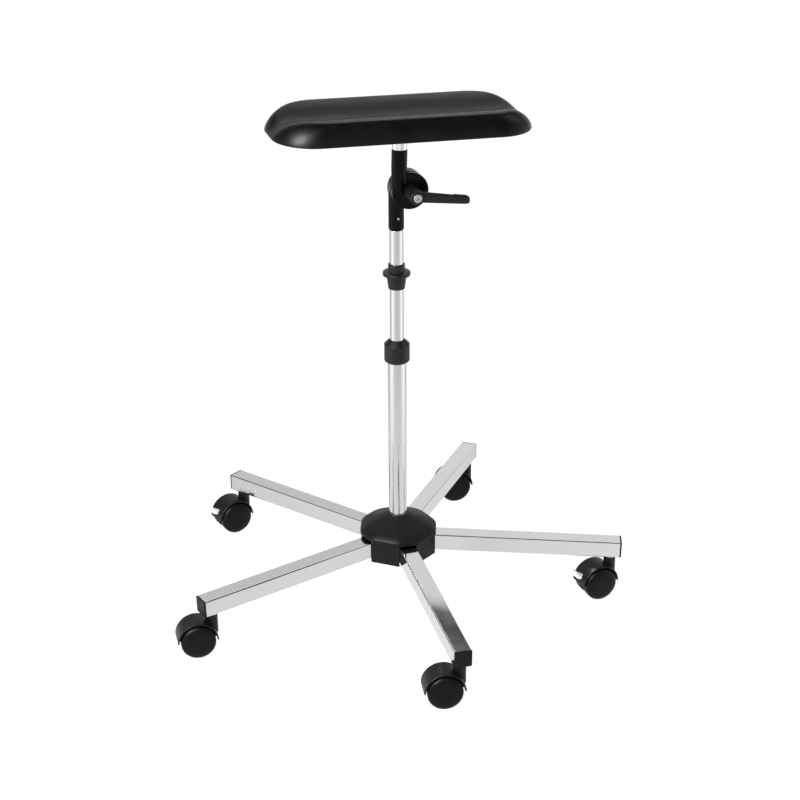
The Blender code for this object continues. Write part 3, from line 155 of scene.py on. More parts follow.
class CastorSizes(Fitted, bpy.types.PropertyGroup):
    """Sizes of the twin-wheel castors"""
    wheel_radius: length("Wheel radius", "Radius of a wheel", 25)
    wheel_inner: length("Wheel inner", "Distance of a wheel's inner face from the middle", 6)
    wheel_tread: length("Wheel tread", "Width of a wheel's tread", 10)
    wheel_crown: length("Wheel crown", "Rise of a wheel's domed face", 6)
    wheel_flat: length("Wheel flat", "Radius of the flatter middle of a wheel's face", 12)
    wheel_rim: length("Wheel rim", "Thickness of a wheel's rim", 3.6)
    wheel_bore: length("Wheel bore", "Radius of a wheel's bore", 3.3)
    wheel_edge: length("Wheel edge", "Edge radius of a wheel", 0.8)
    room: length("Wheel room", "Inner radius of the hood", 27)
    hood_wall: length("Hood wall", "Wall of the hood", 2.2)
    hood_half: length("Hood half width", "Half the width of the hood", 17)
    hood_edge: length("Hood edge", "Edge radius of the hood", 0.9)
    hood_front: angle("Hood front", "Where the hood ends at the front, about the axle", 1)
    hood_rear: angle("Hood rear", "Where the hood ends at the rear, about the axle", 181)
    web_half: length("Web half width", "Half the thickness of the web between the wheels", 5.5)
    boss: length("Axle boss", "Radius of the boss round the axle", 9.3)
    neck: length("Neck", "Radius of the swivel neck", 8.8)
    neck_foot: length("Neck foot", "Height of the neck's lower end above the axle", 6)
    pin: length("Swivel pin", "Radius of the stem's swivel pin", 4)
    flange: length("Stem flange", "Radius of the stem's flange", 9)
    flange_height: length("Stem flange height", "Thickness of the stem's flange", 1.9)
    shank: length("Stem shank", "Radius of the stem's shank", 5.5)
    stem_edge: length("Stem edge", "Edge radius of the stem", 0.4)
    tab_length: length("Brake tab length", "Length of a brake lever's foot tab", 9)
    tab_width: length("Brake tab width", "Width of a brake lever's foot tab", 27)
    tab_thickness: length("Brake tab thickness", "Thickness of a brake lever", 4.4)
    tab_start: length("Brake tab start", "Distance of the foot tab from the lever's pivot", 15)
    tab_corner: length("Brake tab corner", "Corner radius of the foot tab, seen from above", 3)
    tab_edge: length("Brake tab edge", "Edge radius of the foot tab", 1.2)
    brake_angle: angle("Brake angle", "Direction of the brake lever, about the axle", 153)
    brake_stem: length("Brake stem", "Width of the brake lever's stem", 8)
    brake_stem_step: length("Brake stem step", "How far the stem lies below the foot tab's faces", 0.2)
    brake_barrel: length("Brake barrel", "Radius of the brake lever's pivot barrel", 3.4)
    brake_slot: length("Brake slot", "Distance of the hood's slot behind and below the lever's pivot", 3.7)
    brake_slot_reach: length("Brake slot reach", "Length of the hood's slot from the lever's pivot", 15)
    brake_slot_height: length("Brake slot height", "Height of the hood's slot above the lever's pivot", 7.1)


class ColumnSizes(Fitted, bpy.types.PropertyGroup):
    """Sizes of the column's tubes and collars"""
    outer: length("Outer tube", "Radius of the fixed tube", 13.5)
    outer_bore: length("Outer bore", "Inner radius of the fixed tube", 12)
    inner: length("Inner tube", "Radius of the sliding tube", 10)
    inner_bore: length("Inner bore", "Inner radius of the sliding tube", 8.5)
    tube_edge: length("Tube edge", "Edge radius of the tubes' ends", 0.4)
    collar: length("Clamp collar", "Radius of the clamp collar", 18.3)
    collar_cone: length("Collar cone", "Height of the clamp collar's conical top", 6.6)
    collar_foot: length("Collar foot", "Height of the clamp collar's lower chamfer", 3)
    collar_foot_wall: length("Collar foot wall", "Wall of the clamp collar at its foot", 0.6)
    collar_lip: length("Collar lip", "Wall of the clamp collar's lip at its top", 0.5)
    collar_lip_height: length("Collar lip height", "Height of the clamp collar's upper bore", 3.5)
    collar_bore_top: length("Collar bore top", "Distance of the wide bore's end below the collar's top", 8)
    collar_edge: length("Collar edge", "Edge radius of the collars", 0.6)
    flange: length("Stop flange", "Radius of the stop collar's flange", 19.6)
    flange_height: length("Flange height", "Thickness of the stop collar's flange", 4.4)
    stop_body: length("Stop body", "Height of the stop collar's tapered body", 17)
    stop_slope: length("Stop slope", "Height of the slope below the flange", 3)
    stop_foot_wall: length("Stop foot wall", "Wall of the stop collar at its foot", 1.5)
    stop_wall: length("Stop wall", "Wall of the stop collar's body below the flange", 3.6)
    stop_neck_base: length("Stop neck base", "Wall of the stop collar's neck above the flange", 2)
    stop_neck_wall: length("Stop neck wall", "Wall of the stop collar's neck at its top", 1.4)


class JointSizes(Fitted, bpy.types.PropertyGroup):
    """Sizes of the tilting clamp joint and its lever"""
    disc: length("Disc", "Radius of the joint's discs", 26)
    stem: length("Stem", "Radius of the joint's stems", 11)
    reach: length("Reach", "Distance of a stem's end from the clamp axis", 59)
    rear: length("Rear face", "Distance of the lower half's back behind the stem's axis", 8.05)
    parting: length("Parting", "Distance of the parting between the halves from the stem's axis", 11.3)
    front: length("Front face", "Distance of the upper half's front from the lower stem's axis", 19.95)
    edge: length("Edge", "Edge radius of the castings", 1.8)
    upper_offset: length("Upper offset", "Distance between the two stems' axes", 12)
    disc_room: length("Disc room", "Room round the lower disc where the upper stem is cut away", 1.5)
    parting_room: length("Parting room", "Depth of that cut past the upper disc's inner face", 1)
    spot_margin: length("Spot margin", "Width of the spot face round the lever's hub", 1.5)
    spot_depth: length("Spot depth", "Depth of the spot face under the lever's hub", 0.5)
    bore: length("Stem bore", "Radius of the stems' bores", 7.3)
    bore_depth: length("Bore depth", "Depth of the stems' bores", 29.8)
    bolt_hole: length("Bolt hole", "Radius of the clamp bolt's hole", 4.3)
    set_screw: length("Set screw", "Radius of the set screws", 1.9)
    set_screw_inset: length("Set screw inset", "Distance of a set screw from its stem's end", 17.5)
    set_screw_socket: length("Set screw socket", "Corner radius of a set screw's hexagon socket", 1.1)
    set_screw_depth: length("Set screw depth", "Depth of a set screw's socket", 1.2)
    set_screw_edge: length("Set screw edge", "Edge radius of a set screw", 0.3)
    bolt_head: length("Bolt head", "Radius of the clamp bolt's head", 8)
    bolt_head_height: length("Bolt head height", "Height of the clamp bolt's head", 4)
    bolt: length("Bolt", "Radius of the clamp bolt", 4)
    bolt_socket: length("Bolt socket", "Corner radius of the clamp bolt's hexagon socket", 3.2)
    bolt_socket_depth: length("Bolt socket depth", "Depth of the clamp bolt's socket", 2.4)
    bolt_edge: length("Bolt edge", "Edge radius of the clamp bolt's head", 1.4)
    bolt_grip: length("Bolt grip", "Length of the clamp bolt inside the lever's hub", 6.3)
    shank_overlap: length("Shank overlap", "How far a shank is sunk into its screw's head", 0.5)
    lever_base: length("Lever base", "Distance of the lever's hub from the lower stem's axis", 22.15)
    lever_nose: length("Lever nose", "Distance of the lever's nose from the lower stem's axis", 53.7)
    lever_hub: length("Lever hub", "Radius of the lever's hub", 10.2)
    lever_draft: length("Lever draft", "Narrowing of the lever's hub to its nose", 0.8)
    lever_edge: length("Lever edge", "Edge radius of the lever's hub", 1.2)
    lever_bore_depth: length("Lever bore depth", "Depth of the lever's upper bore below the screw's seat", 10)
    lever_socket: length("Lever socket", "Radius of the socket for the lever's insert", 6.8)
    lever_web: length("Lever web", "Distance of that socket's end below the screw's seat", 12.6)
    lever_reach: length("Lever reach", "Length of the lever's arm", 73.5)
    lever_rise: length("Lever rise", "How far the lever's arm slants away from the joint", 12)
    lever_root: length("Lever root", "Depth of the lever's arm at its hub", 15.2)
    lever_tip: length("Lever tip", "Depth of the lever's arm at its tip", 11.4)
    lever_thickness: length("Lever thickness", "Thickness of the lever's arm at its hub", 11)
    lever_thin: length("Lever thinness", "Thickness of the lever's arm at its tip", 8.5)
    lever_roll: length("Lever roll", "Length of the lever's rounded tip", 7.5)
    lever_below: length("Lever arm below nose", "Distance of the arm's root below the nose", 9.5)
    lever_turn: angle("Lever turn", "Turn of the lever below the level", 5.9)
    thumb_length: length("Thumb length", "Length of the thumb step at the lever's tip", 16)
    thumb_ramp: length("Thumb ramp", "Length of the slope up to the thumb step", 2)
    thumb_step: length("Thumb step", "Height of the thumb step", 1)
    screw_seat: length("Screw seat", "Distance of the lever screw's head from the lower stem's axis", 49.7)
    screw_head: length("Screw head", "Radius of the lever screw's head", 6.1)
    screw: length("Screw", "Radius of the lever screw", 2.5)
    screw_socket: length("Screw socket", "Corner radius of the lever screw's hexagon socket", 2.6)
    screw_socket_depth: length("Screw socket depth", "Depth of the lever screw's socket", 2.2)
    screw_edge: length("Screw edge", "Edge radius of the lever screw's head", 0.7)
    screw_end: length("Screw end", "Distance of the lever screw's end from the hub's base", 6.9)
    spigot: length("Spigot", "Radius of the spigot below the pad", 11.1)
    spigot_stub: length("Spigot stub", "Radius of the spigot's lower end", 7)
    spigot_length: length("Spigot length", "Length of the spigot above the joint", 25.3)
    spigot_edge: length("Spigot edge", "Edge radius of the spigot's ends", 0.4)
    tilt: angle("Tilt", "Tilt of the pad, with its right end down", 1.6)


class PadSizes(bpy.types.PropertyGroup):
    """Sizes of the pad and its plate"""
    base: length("Base", "Height of the pad's underside above the clamp axis", 88.2)
    length: length("Length", "Length of the pad", 361.5)
    width: length("Width", "Width of the pad", 147.5)
    corner: length("Corner", "Corner radius of the pad, seen from above", 57)
    crest: length("Crest", "Height of the pad's two crests", 29.5)
    trough: length("Trough", "Depth of the lengthwise trough", 13)
    crest_spacing: length("Crest spacing", "Distance between the two crests", 106)
    shoulder: length("Shoulder", "Width of the rolled edge", 14.5)
    edge: length("Edge", "Radius of the lower edge", 0.9)
    shift: length("Shift", "How far the pad's middle lies to the left of the spigot", 1.5)
    plate_length: length("Plate length", "Length of the steel plate", 160)
    plate_width: length("Plate width", "Width of the steel plate", 84)
    plate_corner: length("Plate corner", "Corner radius of the steel plate", 10)
    plate_thickness: length("Plate thickness", "Thickness of the steel plate", 3)
    plate_edge: length("Plate edge", "Edge radius of the steel plate", 0.6)


class FinishColours(bpy.types.PropertyGroup):
    """Colours of the finishes"""
    chrome: colour("Chrome", "Chrome plate", "cacbcc")
    zinc: colour("Zinc", "Zinc-plated steel", "b4b6b8")
    hub: colour("Hub", "Matt charcoal nylon of the hub and the caps", "0a090a")
    nylon: colour("Nylon", "Satin charcoal nylon of the collars", "0a090a")
    castor: colour("Castor", "Charcoal nylon of the castors' hoods", "0a090a")
    wheel: colour("Wheel", "Black nylon of the castors' wheels", "050505")
    brake: colour("Brake", "Light grey nylon of the brake levers", "eaeae8")
    lacquer: colour("Lacquer", "Black lacquer of the castings", "050505")
    powder: colour("Powder", "Powder coat of the lever", "0d0c0d")
    skin: colour("Skin", "Polyurethane skin of the pad", "040404")
    floor: colour("Floor", "Floor, under its own light", "404040")
    room: colour("Room", "Dim light of the room in reflections", "505052")


class StageSettings(bpy.types.PropertyGroup):
    """Camera, floor and lights"""
    camera_place: bpy.props.FloatVectorProperty(
        name="Camera place", description="Camera's place from the foot of the column",
        default=(0.00005, -2.4131, 1.4325), size=3, subtype="TRANSLATION", unit="LENGTH")
    camera_pitch: angle("Camera pitch", "How far the camera looks down", 24.915)
    camera_yaw: angle("Camera yaw", "How far the camera looks right", 0.094)
    camera_roll: angle("Camera roll", "Turn of the camera about its line of sight", -0.2765)
    camera_lens: bpy.props.FloatProperty(
        name="Lens", description="Focal length on a 36 mm sensor", default=82.81, unit="CAMERA")
    floor_size: length("Floor size", "Width of the floor", 16000)
    floor_glow: strength("Floor glow", "Glow of the floor to the camera, and near and behind the column", 1)
    floor_left: strength("Floor left", "Glow of the floor on the left, in reflections", 1.46)
    floor_right: strength("Floor right", "Glow of the floor on the right, in reflections", 1.5)
    floor_front: strength("Floor front", "Glow of the floor in front, in reflections", 0.8)
    floor_rear: strength("Floor rear", "Glow of the floor behind on both sides, in reflections", 0.6)
    floor_near: length("Floor near", "Distance from the column where the floor's sides begin", 100)
    floor_far: length("Floor far", "Distance from the column where the floor's sides are full", 1000)
    backdrop_left: strength("Backdrop left", "Brightness of the panel behind the stand, on the left", 0.76)
    backdrop_right: strength("Backdrop right", "Brightness of the panel behind the stand, on the right", 0.95)
    key: strength("Key", "Brightness of the soft light from the front left", 45)
    fill: strength("Fill", "Brightness of the soft light on the right", 4)
    top: strength("Top", "Brightness of the soft light high behind the stand", 1.6)
    front: strength("Front", "Brightness of the wide panel in front of the stand", 0.55)
    left: strength("Left", "Brightness of the wide panel on the left", 0.4)
    right: strength("Right", "Brightness of the wide panel on the right", 0.9)


class RestStand(bpy.types.PropertyGroup):
    """Everything that can be set on the stand"""
    arms: bpy.props.PointerProperty(type=ArmSizes, name="Arms", description="Star arms")
    hub: bpy.props.PointerProperty(type=HubSizes, name="Hub", description="Hub block and cover")
    castors: bpy.props.PointerProperty(type=CastorSizes, name="Castors", description="Castors")
    column: bpy.props.PointerProperty(type=ColumnSizes, name="Column", description="Tubes and collars")
    joint: bpy.props.PointerProperty(type=JointSizes, name="Joint", description="Clamp joint and lever")
    pad: bpy.props.PointerProperty(type=PadSizes, name="Pad", description="Pad and plate")
    colours: bpy.props.PointerProperty(type=FinishColours, name="Colours", description="Finish colours")
    stage: bpy.props.PointerProperty(type=StageSettings, name="Stage", description="Camera and lights")


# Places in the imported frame

JOINTS = {joint["name"]: joint for joint in frame["joints"]}


def joint_place(name):
    """Where a joint is."""
    return Vector(JOINTS[name]["pos_m"])


def joint_axis(name):
    """The direction of a joint's axis."""
    return Vector(JOINTS[name]["axis"]).normalized()


def facing(place, across):
    """A frame at a place, with +Y along a level direction and +Z up."""
    turn = Matrix((across.cross(UP), across, UP)).transposed()
    return Matrix.Translation(place) @ turn.to_4x4()


def on_floor(place):
    """The point of the floor below a place."""
    return Vector((place.x, place.y, 0))


COLUMN = on_floor(joint_place("mast_turn"))
COLUMN_FRAME = Matrix.Translation(COLUMN)
JOINT_FRAME = facing(joint_place("pad_tilt"), joint_axis("pad_tilt"))


def heights(node):
    """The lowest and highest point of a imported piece."""
    low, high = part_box(node)
    return low.z, high.z


def arm_heading(number):
    """The direction of an arm, seen from above."""
    outwards = joint_place(f"castor_{number}_swivel") - COLUMN
    return math.atan2(outwards.y, outwards.x)


def arm_frame(number, sizes):
    """The frame of an arm: +X along the middle of its tube, from the column's axis."""
    middle = sum(heights(f"arm_{number}")) / 2
    rise = math.sin(sizes.slope) * (sizes.root + sizes.reach) / 2
    turn = Matrix.Rotation(arm_heading(number), 4, "Z") @ Matrix.Rotation(sizes.slope, 4, "Y")
    return Matrix.Translation(COLUMN + UP * (middle + rise)) @ turn


def castor_frame(number):
    """The frame of a castor: its swivel axis on the floor, with +X away from the axle."""
    return facing(on_floor(joint_place(f"castor_{number}_swivel")), joint_axis(f"wheel_l{number}_spin"))


def axle_place():
    """Where the axle is in a castor's frame."""
    return castor_frame(1).inverted() @ joint_place("wheel_l1_spin")


def tilting_frame(sizes):
    """The frame of what tilts: the clamp axis along Y, and +Z up the spigot."""
    return JOINT_FRAME @ Matrix.Rotation(sizes.tilt, 4, "Y")


def spigot_frame(sizes):
    """The frame of the spigot."""
    return tilting_frame(sizes) @ Matrix.Translation((sizes.stem - sizes.disc, -sizes.upper_offset, 0))


def pad_frame(stand):
    """The frame of the pad and its plate."""
    return spigot_frame(stand.joint) @ Matrix.Translation((-stand.pad.shift, 0, 0))


# Shapes

def closed(shape):
    """Merge a shape's doubles and point its faces outwards."""
    bmesh.ops.remove_doubles(shape, verts=shape.verts, dist=WELD)
    bmesh.ops.recalc_face_normals(shape, faces=shape.faces)
    return shape


def rounded(shape, geom, radius, steps, affect="EDGES", clamp=False):
    """Round some edges or corners of a shape."""
    bmesh.ops.bevel(
        shape, geom=geom, offset=radius, offset_type="OFFSET", affect=affect, segments=steps, profile=0.5,
        material=-1, clamp_overlap=clamp)
    return shape


def soften(shape, radius, steps=EDGE_STEPS):
    """Round the outer edges of a shape."""
    joined = [edge for edge in shape.edges if edge.is_manifold]
    edges = [edge for edge in joined if edge.calc_face_angle_signed() > SHARP_ANGLE]
    return rounded(shape, edges, radius, steps, clamp=True)


def moved(shape, matrix):
    """The same shape, moved by a matrix."""
    shape.transform(matrix)
    return shape


def turned(profile, steps=TURNED_STEPS):
    """A turned shape about Z. Its profile is a ring, or runs from the axis to the axis."""
    shape = bmesh.new()
    points = [shape.verts.new((radius, 0, height)) for radius, height in profile]
    edges = [shape.edges.new(pair) for pair in zip(points, points[1:])]
    if profile[0][0] > 0:
        edges.append(shape.edges.new((points[-1], points[0])))
    bmesh.ops.spin(
        shape, geom=points + edges, cent=(0, 0, 0), axis=UP, angle=FULL_TURN, steps=steps, use_merge=True)
    return closed(shape)


def rod(radius, low, high, steps=SMALL_STEPS):
    """A plain round bar along Z."""
    return turned([(0, low), (radius, low), (radius, high), (0, high)], steps)


def arc(radius, start, end, steps):
    """Points along an arc about the origin."""
    turns = [start + (end - start) * step / steps for step in range(steps + 1)]
    return [(radius * math.cos(turn), radius * math.sin(turn)) for turn in turns]


def extended(shape, face, stretch, step):
    """Extrude a face, scale the new face about its middle and move it."""
    middle = face.calc_center_bounds()
    grown = bmesh.ops.extrude_face_region(shape, geom=[face, *face.edges])["geom"]
    verts = [item for item in grown if isinstance(item, bmesh.types.BMVert)]
    bmesh.ops.scale(shape, verts=verts, vec=stretch, space=Matrix.Translation(-middle))
    bmesh.ops.translate(shape, verts=verts, vec=step)
    return next(item for item in grown if isinstance(item, bmesh.types.BMFace))


def raised(shape, rise):
    """Extrude a flat shape of one face along Z into a closed shape."""
    shape.faces.ensure_lookup_table()
    extended(shape, shape.faces[0], (1, 1, 1), UP * rise)
    return closed(shape)


def plate(outline, low, high):
    """A flat outline in X and Y, given thickness along Z."""
    shape = bmesh.new()
    shape.faces.new([shape.verts.new((x, y, low)) for x, y in outline])
    return raised(shape, high - low)


def rounded_sheet(length, width, corner, steps=CORNER_STEPS):
    """A flat rectangle with rounded corners, as one face about the origin."""
    shape = bmesh.new()
    corners = bmesh.ops.create_grid(shape, x_segments=1, y_segments=1, size=0.5)["verts"]
    bmesh.ops.scale(shape, verts=corners, vec=(length, width, 1))
    return rounded(shape, corners, corner, steps, affect="VERTICES")


def rounded_slab(length, width, corner, low, high):
    """A slab about the Z axis, whose outline is a rectangle with rounded corners."""
    sheet = rounded_sheet(length, width, corner)
    return raised(moved(sheet, Matrix.Translation(UP * low)), high - low)


def hexagon_bar(radius, low, high):
    """A hexagon bar along Z, with its size given by the radius to its corners."""
    shape = bmesh.new()
    ring = bmesh.ops.create_circle(shape, cap_ends=True, segments=6, radius=radius)["verts"]
    bmesh.ops.translate(shape, verts=ring, vec=(0, 0, low))
    return raised(shape, high - low)


def block(low, high):
    """A plain block between two corners."""
    shape = bmesh.new()
    bmesh.ops.create_cube(shape, size=1)
    low, high = Vector(low), Vector(high)
    bmesh.ops.scale(shape, verts=shape.verts, vec=high - low)
    bmesh.ops.translate(shape, verts=shape.verts, vec=(low + high) / 2)
    return shape


def as_mesh(shape, name):
    """Turn a shape into a mesh."""
    mesh = bpy.data.meshes.new(name)
    shape.to_mesh(mesh)
    shape.free()
    return mesh


def combined(base, others, operation):
    """A shape after a Boolean with each of the other shapes."""
    collection = bpy.context.scene.collection
    meshes = [as_mesh(shape, "boolean") for shape in (base, *others)]
    body, *tools = [bpy.data.objects.new("boolean", mesh) for mesh in meshes]
    for spare in (body, *tools):
        collection.objects.link(spare)
    for tool in tools:
        modifier = body.modifiers.new("boolean", "BOOLEAN")
        modifier.operation = operation
        modifier.solver = "EXACT"
        modifier.object = tool
    bpy.context.view_layer.update()
    result = bpy.data.meshes.new_from_object(body.evaluated_get(bpy.context.evaluated_depsgraph_get()))
    shape = bmesh.new()
    shape.from_mesh(result)
    for spare in (body, *tools):
        bpy.data.objects.remove(spare)
    for mesh in (*meshes, result):
        bpy.data.meshes.remove(mesh)
    return shape


def finished(name, shape, material, body, slot, *nodes):
    """Turn a shape into a piece with its finish, on its body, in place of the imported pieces."""
    bmesh.ops.dissolve_degenerate(shape, dist=WELD, edges=shape.edges)
    mesh = as_mesh(shape, name)
    mesh.materials.append(material)
    mesh.shade_smooth()
    mesh.set_sharp_from_angle(angle=SHARP_ANGLE)
    piece = bpy.data.objects.new(name, mesh)
    bpy.context.scene.collection.objects.link(piece)
    weighting = piece.modifiers.new("flat_faces", "WEIGHTED_NORMAL")
    weighting.keep_sharp = True
    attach(piece, body)
    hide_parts(*nodes)
    return piece


def placed_copy(shape, matrix):
    """A copy of a shape, moved by a matrix."""
    return moved(shape.copy(), matrix)


# Finishes

def add_node(tree, kind, values=(), links=(), **settings):
    """Add a node with its settings, its sockets' values and the links into it."""
    node = tree.nodes.new(kind)
    for key, value in settings.items():
        setattr(node, key, value)
    for socket, value in dict(values).items():
        node.inputs[socket].default_value = value
    for socket, source in dict(links).items():
        tree.links.new(source, node.inputs[socket])
    return node


def new_finish(name, base, values):
    """A material with a Principled shader, a base colour and values on the shader's own sockets."""
    material = bpy.data.materials.new(name)
    material.use_nodes = True
    shader = material.node_tree.nodes["Principled BSDF"]
    shader.inputs["Base Color"].default_value = (*base, 1)
    for socket, value in values.items():
        shader.inputs[socket].default_value = value
    return material, material.node_tree, shader


def per_metre(millimetres):
    """A pattern's scale, from the size of its features."""
    return 1 / (millimetres * MM)


def chrome_plate(colours):
    """Bright chromium over polished, drawn steel tube."""
    # A mirror that is slightly hazy in patches, with a faint waviness left by drawing and polishing.
    material, tree, shader = new_finish("chrome_plate", colours.chrome, {"Metallic": 1})
    place = add_node(tree, "ShaderNodeTexCoord").outputs["Object"]
    haze = add_node(tree, "ShaderNodeTexNoise", {"Scale": per_metre(35), "Detail": 3}, {"Vector": place})
    polish = add_node(
        tree, "ShaderNodeMapRange", {"From Min": 0.3, "From Max": 0.7, "To Min": 0.045, "To Max": 0.085},
        {"Value": haze.outputs["Fac"]})
    wave = add_node(tree, "ShaderNodeTexNoise", {"Scale": per_metre(14), "Detail": 1}, {"Vector": place})
    bump = add_node(
        tree, "ShaderNodeBump", {"Strength": 0.25, "Distance": 0.02 * MM}, {"Height": wave.outputs["Fac"]})
    tree.links.new(polish.outputs["Result"], shader.inputs["Roughness"])
    tree.links.new(bump.outputs["Normal"], shader.inputs["Normal"])
    return material


def zinc_plated_steel(colours):
    """Turned steel with a thin bright zinc plating."""
    # A dull silver with cloudy crystals of the plating and a rougher reflection than chrome.
    material, tree, shader = new_finish("zinc_plated_steel", colours.zinc, {"Metallic": 1})
    place = add_node(tree, "ShaderNodeTexCoord").outputs["Object"]
    cloud = add_node(tree, "ShaderNodeTexNoise", {"Scale": per_metre(2), "Detail": 4}, {"Vector": place})
    shade = add_node(
        tree, "ShaderNodeMix", {"A": (*[c * 0.8 for c in colours.zinc], 1), "B": (*colours.zinc, 1)},
        {"Factor": cloud.outputs["Fac"]}, data_type="RGBA")
    rough = add_node(
        tree, "ShaderNodeMapRange", {"To Min": 0.24, "To Max": 0.4}, {"Value": cloud.outputs["Fac"]})
    tree.links.new(shade.outputs["Result"], shader.inputs["Base Color"])
    tree.links.new(rough.outputs["Result"], shader.inputs["Roughness"])
    return material


def moulded(name, base, grain, depth, smooth, dull, values):
    """A moulded plastic: a grain of a size and depth, and a gloss that varies between two roughnesses."""
    material, tree, shader = new_finish(name, base, values)
    place = add_node(tree, "ShaderNodeTexCoord").outputs["Object"]
    flow = add_node(tree, "ShaderNodeTexNoise", {"Scale": per_metre(22), "Detail": 2}, {"Vector": place})
    gloss = add_node(
        tree, "ShaderNodeMapRange", {"From Min": 0.3, "From Max": 0.7, "To Min": smooth, "To Max": dull},
        {"Value": flow.outputs["Fac"]})
    tint = add_node(
        tree, "ShaderNodeMix", {"A": (*[c * 0.86 for c in base], 1), "B": (*[c * 1.14 for c in base], 1)},
        {"Factor": flow.outputs["Fac"]}, data_type="RGBA")
    texture = add_node(
        tree, "ShaderNodeTexNoise", {"Scale": per_metre(grain), "Detail": 2}, {"Vector": place})
    bump = add_node(
        tree, "ShaderNodeBump", {"Strength": 0.4, "Distance": depth * MM}, {"Height": texture.outputs["Fac"]})
    tree.links.new(tint.outputs["Result"], shader.inputs["Base Color"])
    tree.links.new(gloss.outputs["Result"], shader.inputs["Roughness"])
    tree.links.new(bump.outputs["Normal"], shader.inputs["Normal"])
    return material


def charcoal_nylon(colours):
    """Glass-filled nylon, moulded in a lightly spark-eroded tool."""
    # A satin charcoal with a fine grain, drawn at 0.9 mm so that it shows, and soft flow clouds.
    return moulded("charcoal_nylon", colours.nylon, 0.9, 0.02, 0.36, 0.46, {"Specular IOR Level": 0.26})


def matt_nylon(colours):
    """Glass-filled nylon, moulded in a coarser spark-eroded tool."""
    # A dull charcoal whose highlights spread wide, with a pebbled grain drawn at 1 mm so that it shows.
    return moulded("matt_nylon", colours.hub, 1, 0.03, 0.46, 0.56, {"Specular IOR Level": 0.16})


def hood_nylon(colours):
    """Plain nylon of the castors' hoods, from a smoother tool."""
    # A soft black with broad dull highlights and a grain drawn at 1.2 mm so that it shows.
    return moulded("hood_nylon", colours.castor, 1.2, 0.015, 0.36, 0.46, {"Specular IOR Level": 0.2})


def wheel_nylon(colours):
    """Hard nylon of the castors' wheels."""
    # Blacker than the hoods, with a dull gloss and a grain drawn at 1.2 mm so that it shows.
    return moulded("wheel_nylon", colours.wheel, 1.2, 0.015, 0.38, 0.48, {"Specular IOR Level": 0.13})


def grey_nylon(colours):
    """Unpigmented nylon of the brake levers."""
    # A milky light grey that lets a little light in.
    values = {"Subsurface Weight": 0.15, "Subsurface Scale": 1 * MM}
    return moulded("grey_nylon", colours.brake, 1, 0.01, 0.38, 0.5, values)


def black_lacquer(colours):
    """Stove lacquer on die-cast zinc."""
    # A deep black with clear, narrow highlights and a faint orange peel.
    return moulded("black_lacquer", colours.lacquer, 2.2, 0.008, 0.16, 0.24, {"Specular IOR Level": 0.08})


def powder_coat(colours):
    """Black powder coat, baked on the lever's zinc casting."""
    # A satin black, greyer than the lacquer, with a fine pebbled grain drawn at 0.8 mm so that it shows.
    return moulded("powder_coat", colours.powder, 0.8, 0.012, 0.4, 0.5, {"Specular IOR Level": 0.2})


def polyurethane_skin(colours):
    """The closed skin of moulded polyurethane foam."""
    # A satin black like fine leather: broad soft highlights, broken by a shallow grain and faint clouds.
    values = {"Specular IOR Level": 0.16}
    return moulded("polyurethane_skin", colours.skin, 1.1, 0.025, 0.36, 0.44, values)


def pale_floor(colours):
    """A plain seamless floor."""
    # Even and matt, with a light of its own, so that shadows stay faint. In reflections it has brighter and
    # dimmer sides, as a studio's floor has, which give the tubes their upright streaks.
    stage = bpy.context.scene.rest_stand.stage
    values = {"Roughness": 0.9, "Specular IOR Level": 0, "Emission Color": (1, 1, 1, 1)}
    material, tree, shader = new_finish("pale_floor", colours.floor, values)
    place = add_node(tree, "ShaderNodeTexCoord").outputs["Object"]
    offset = add_node(tree, "ShaderNodeVectorMath", {1: COLUMN}, {0: place}, operation="SUBTRACT")
    axes = add_node(tree, "ShaderNodeSeparateXYZ", links={"Vector": offset.outputs["Vector"]})
    front = add_node(tree, "ShaderNodeMath", {1: -1}, {0: axes.outputs["Y"]}, operation="MULTIPLY")
    heading = add_node(
        tree, "ShaderNodeMath", links={0: axes.outputs["X"], 1: front.outputs["Value"]}, operation="ARCTAN2")
    share = add_node(
        tree, "ShaderNodeMapRange", {"From Min": -math.pi, "From Max": math.pi},
        {"Value": heading.outputs["Value"]})
    # The curve runs once round the column, from the back, and holds half the glow, because it ends at 1.
    # Each side is a heading in degrees from the front, to the right, with its glow.
    sides = (
        (-125, stage.floor_rear), (-68, stage.floor_left), (-28, stage.floor_front),
        (38, stage.floor_front), (85, stage.floor_right), (138, stage.floor_rear))
    glow = add_node(tree, "ShaderNodeFloatCurve", links={"Value": share.outputs["Result"]})
    curve = glow.mapping.curves[0]
    curve.points[0].location = (0, stage.floor_glow / 2)
    curve.points[1].location = (1, stage.floor_glow / 2)
    for degrees, level in sides:
        curve.points.new(0.5 + degrees / 360, level / 2)
    glow.mapping.update()
    reach = add_node(tree, "ShaderNodeVectorMath", links={0: offset.outputs["Vector"]}, operation="LENGTH")
    far = add_node(
        tree, "ShaderNodeMapRange", {"From Min": stage.floor_near, "From Max": stage.floor_far},
        {"Value": reach.outputs["Value"]}, interpolation_type="SMOOTHSTEP")
    half = add_node(
        tree, "ShaderNodeMix", {"A": stage.floor_glow / 2},
        {"Factor": far.outputs["Result"], "B": glow.outputs["Value"]})
    whole = add_node(tree, "ShaderNodeMath", {1: 2}, {0: half.outputs["Result"]}, operation="MULTIPLY")
    ray = add_node(tree, "ShaderNodeLightPath").outputs["Is Camera Ray"]
    seen = add_node(
        tree, "ShaderNodeMix", {"B": stage.floor_glow}, {"Factor": ray, "A": whole.outputs["Value"]})
    tree.links.new(seen.outputs["Result"], shader.inputs["Emission Strength"])
    return material


FINISHES = {}


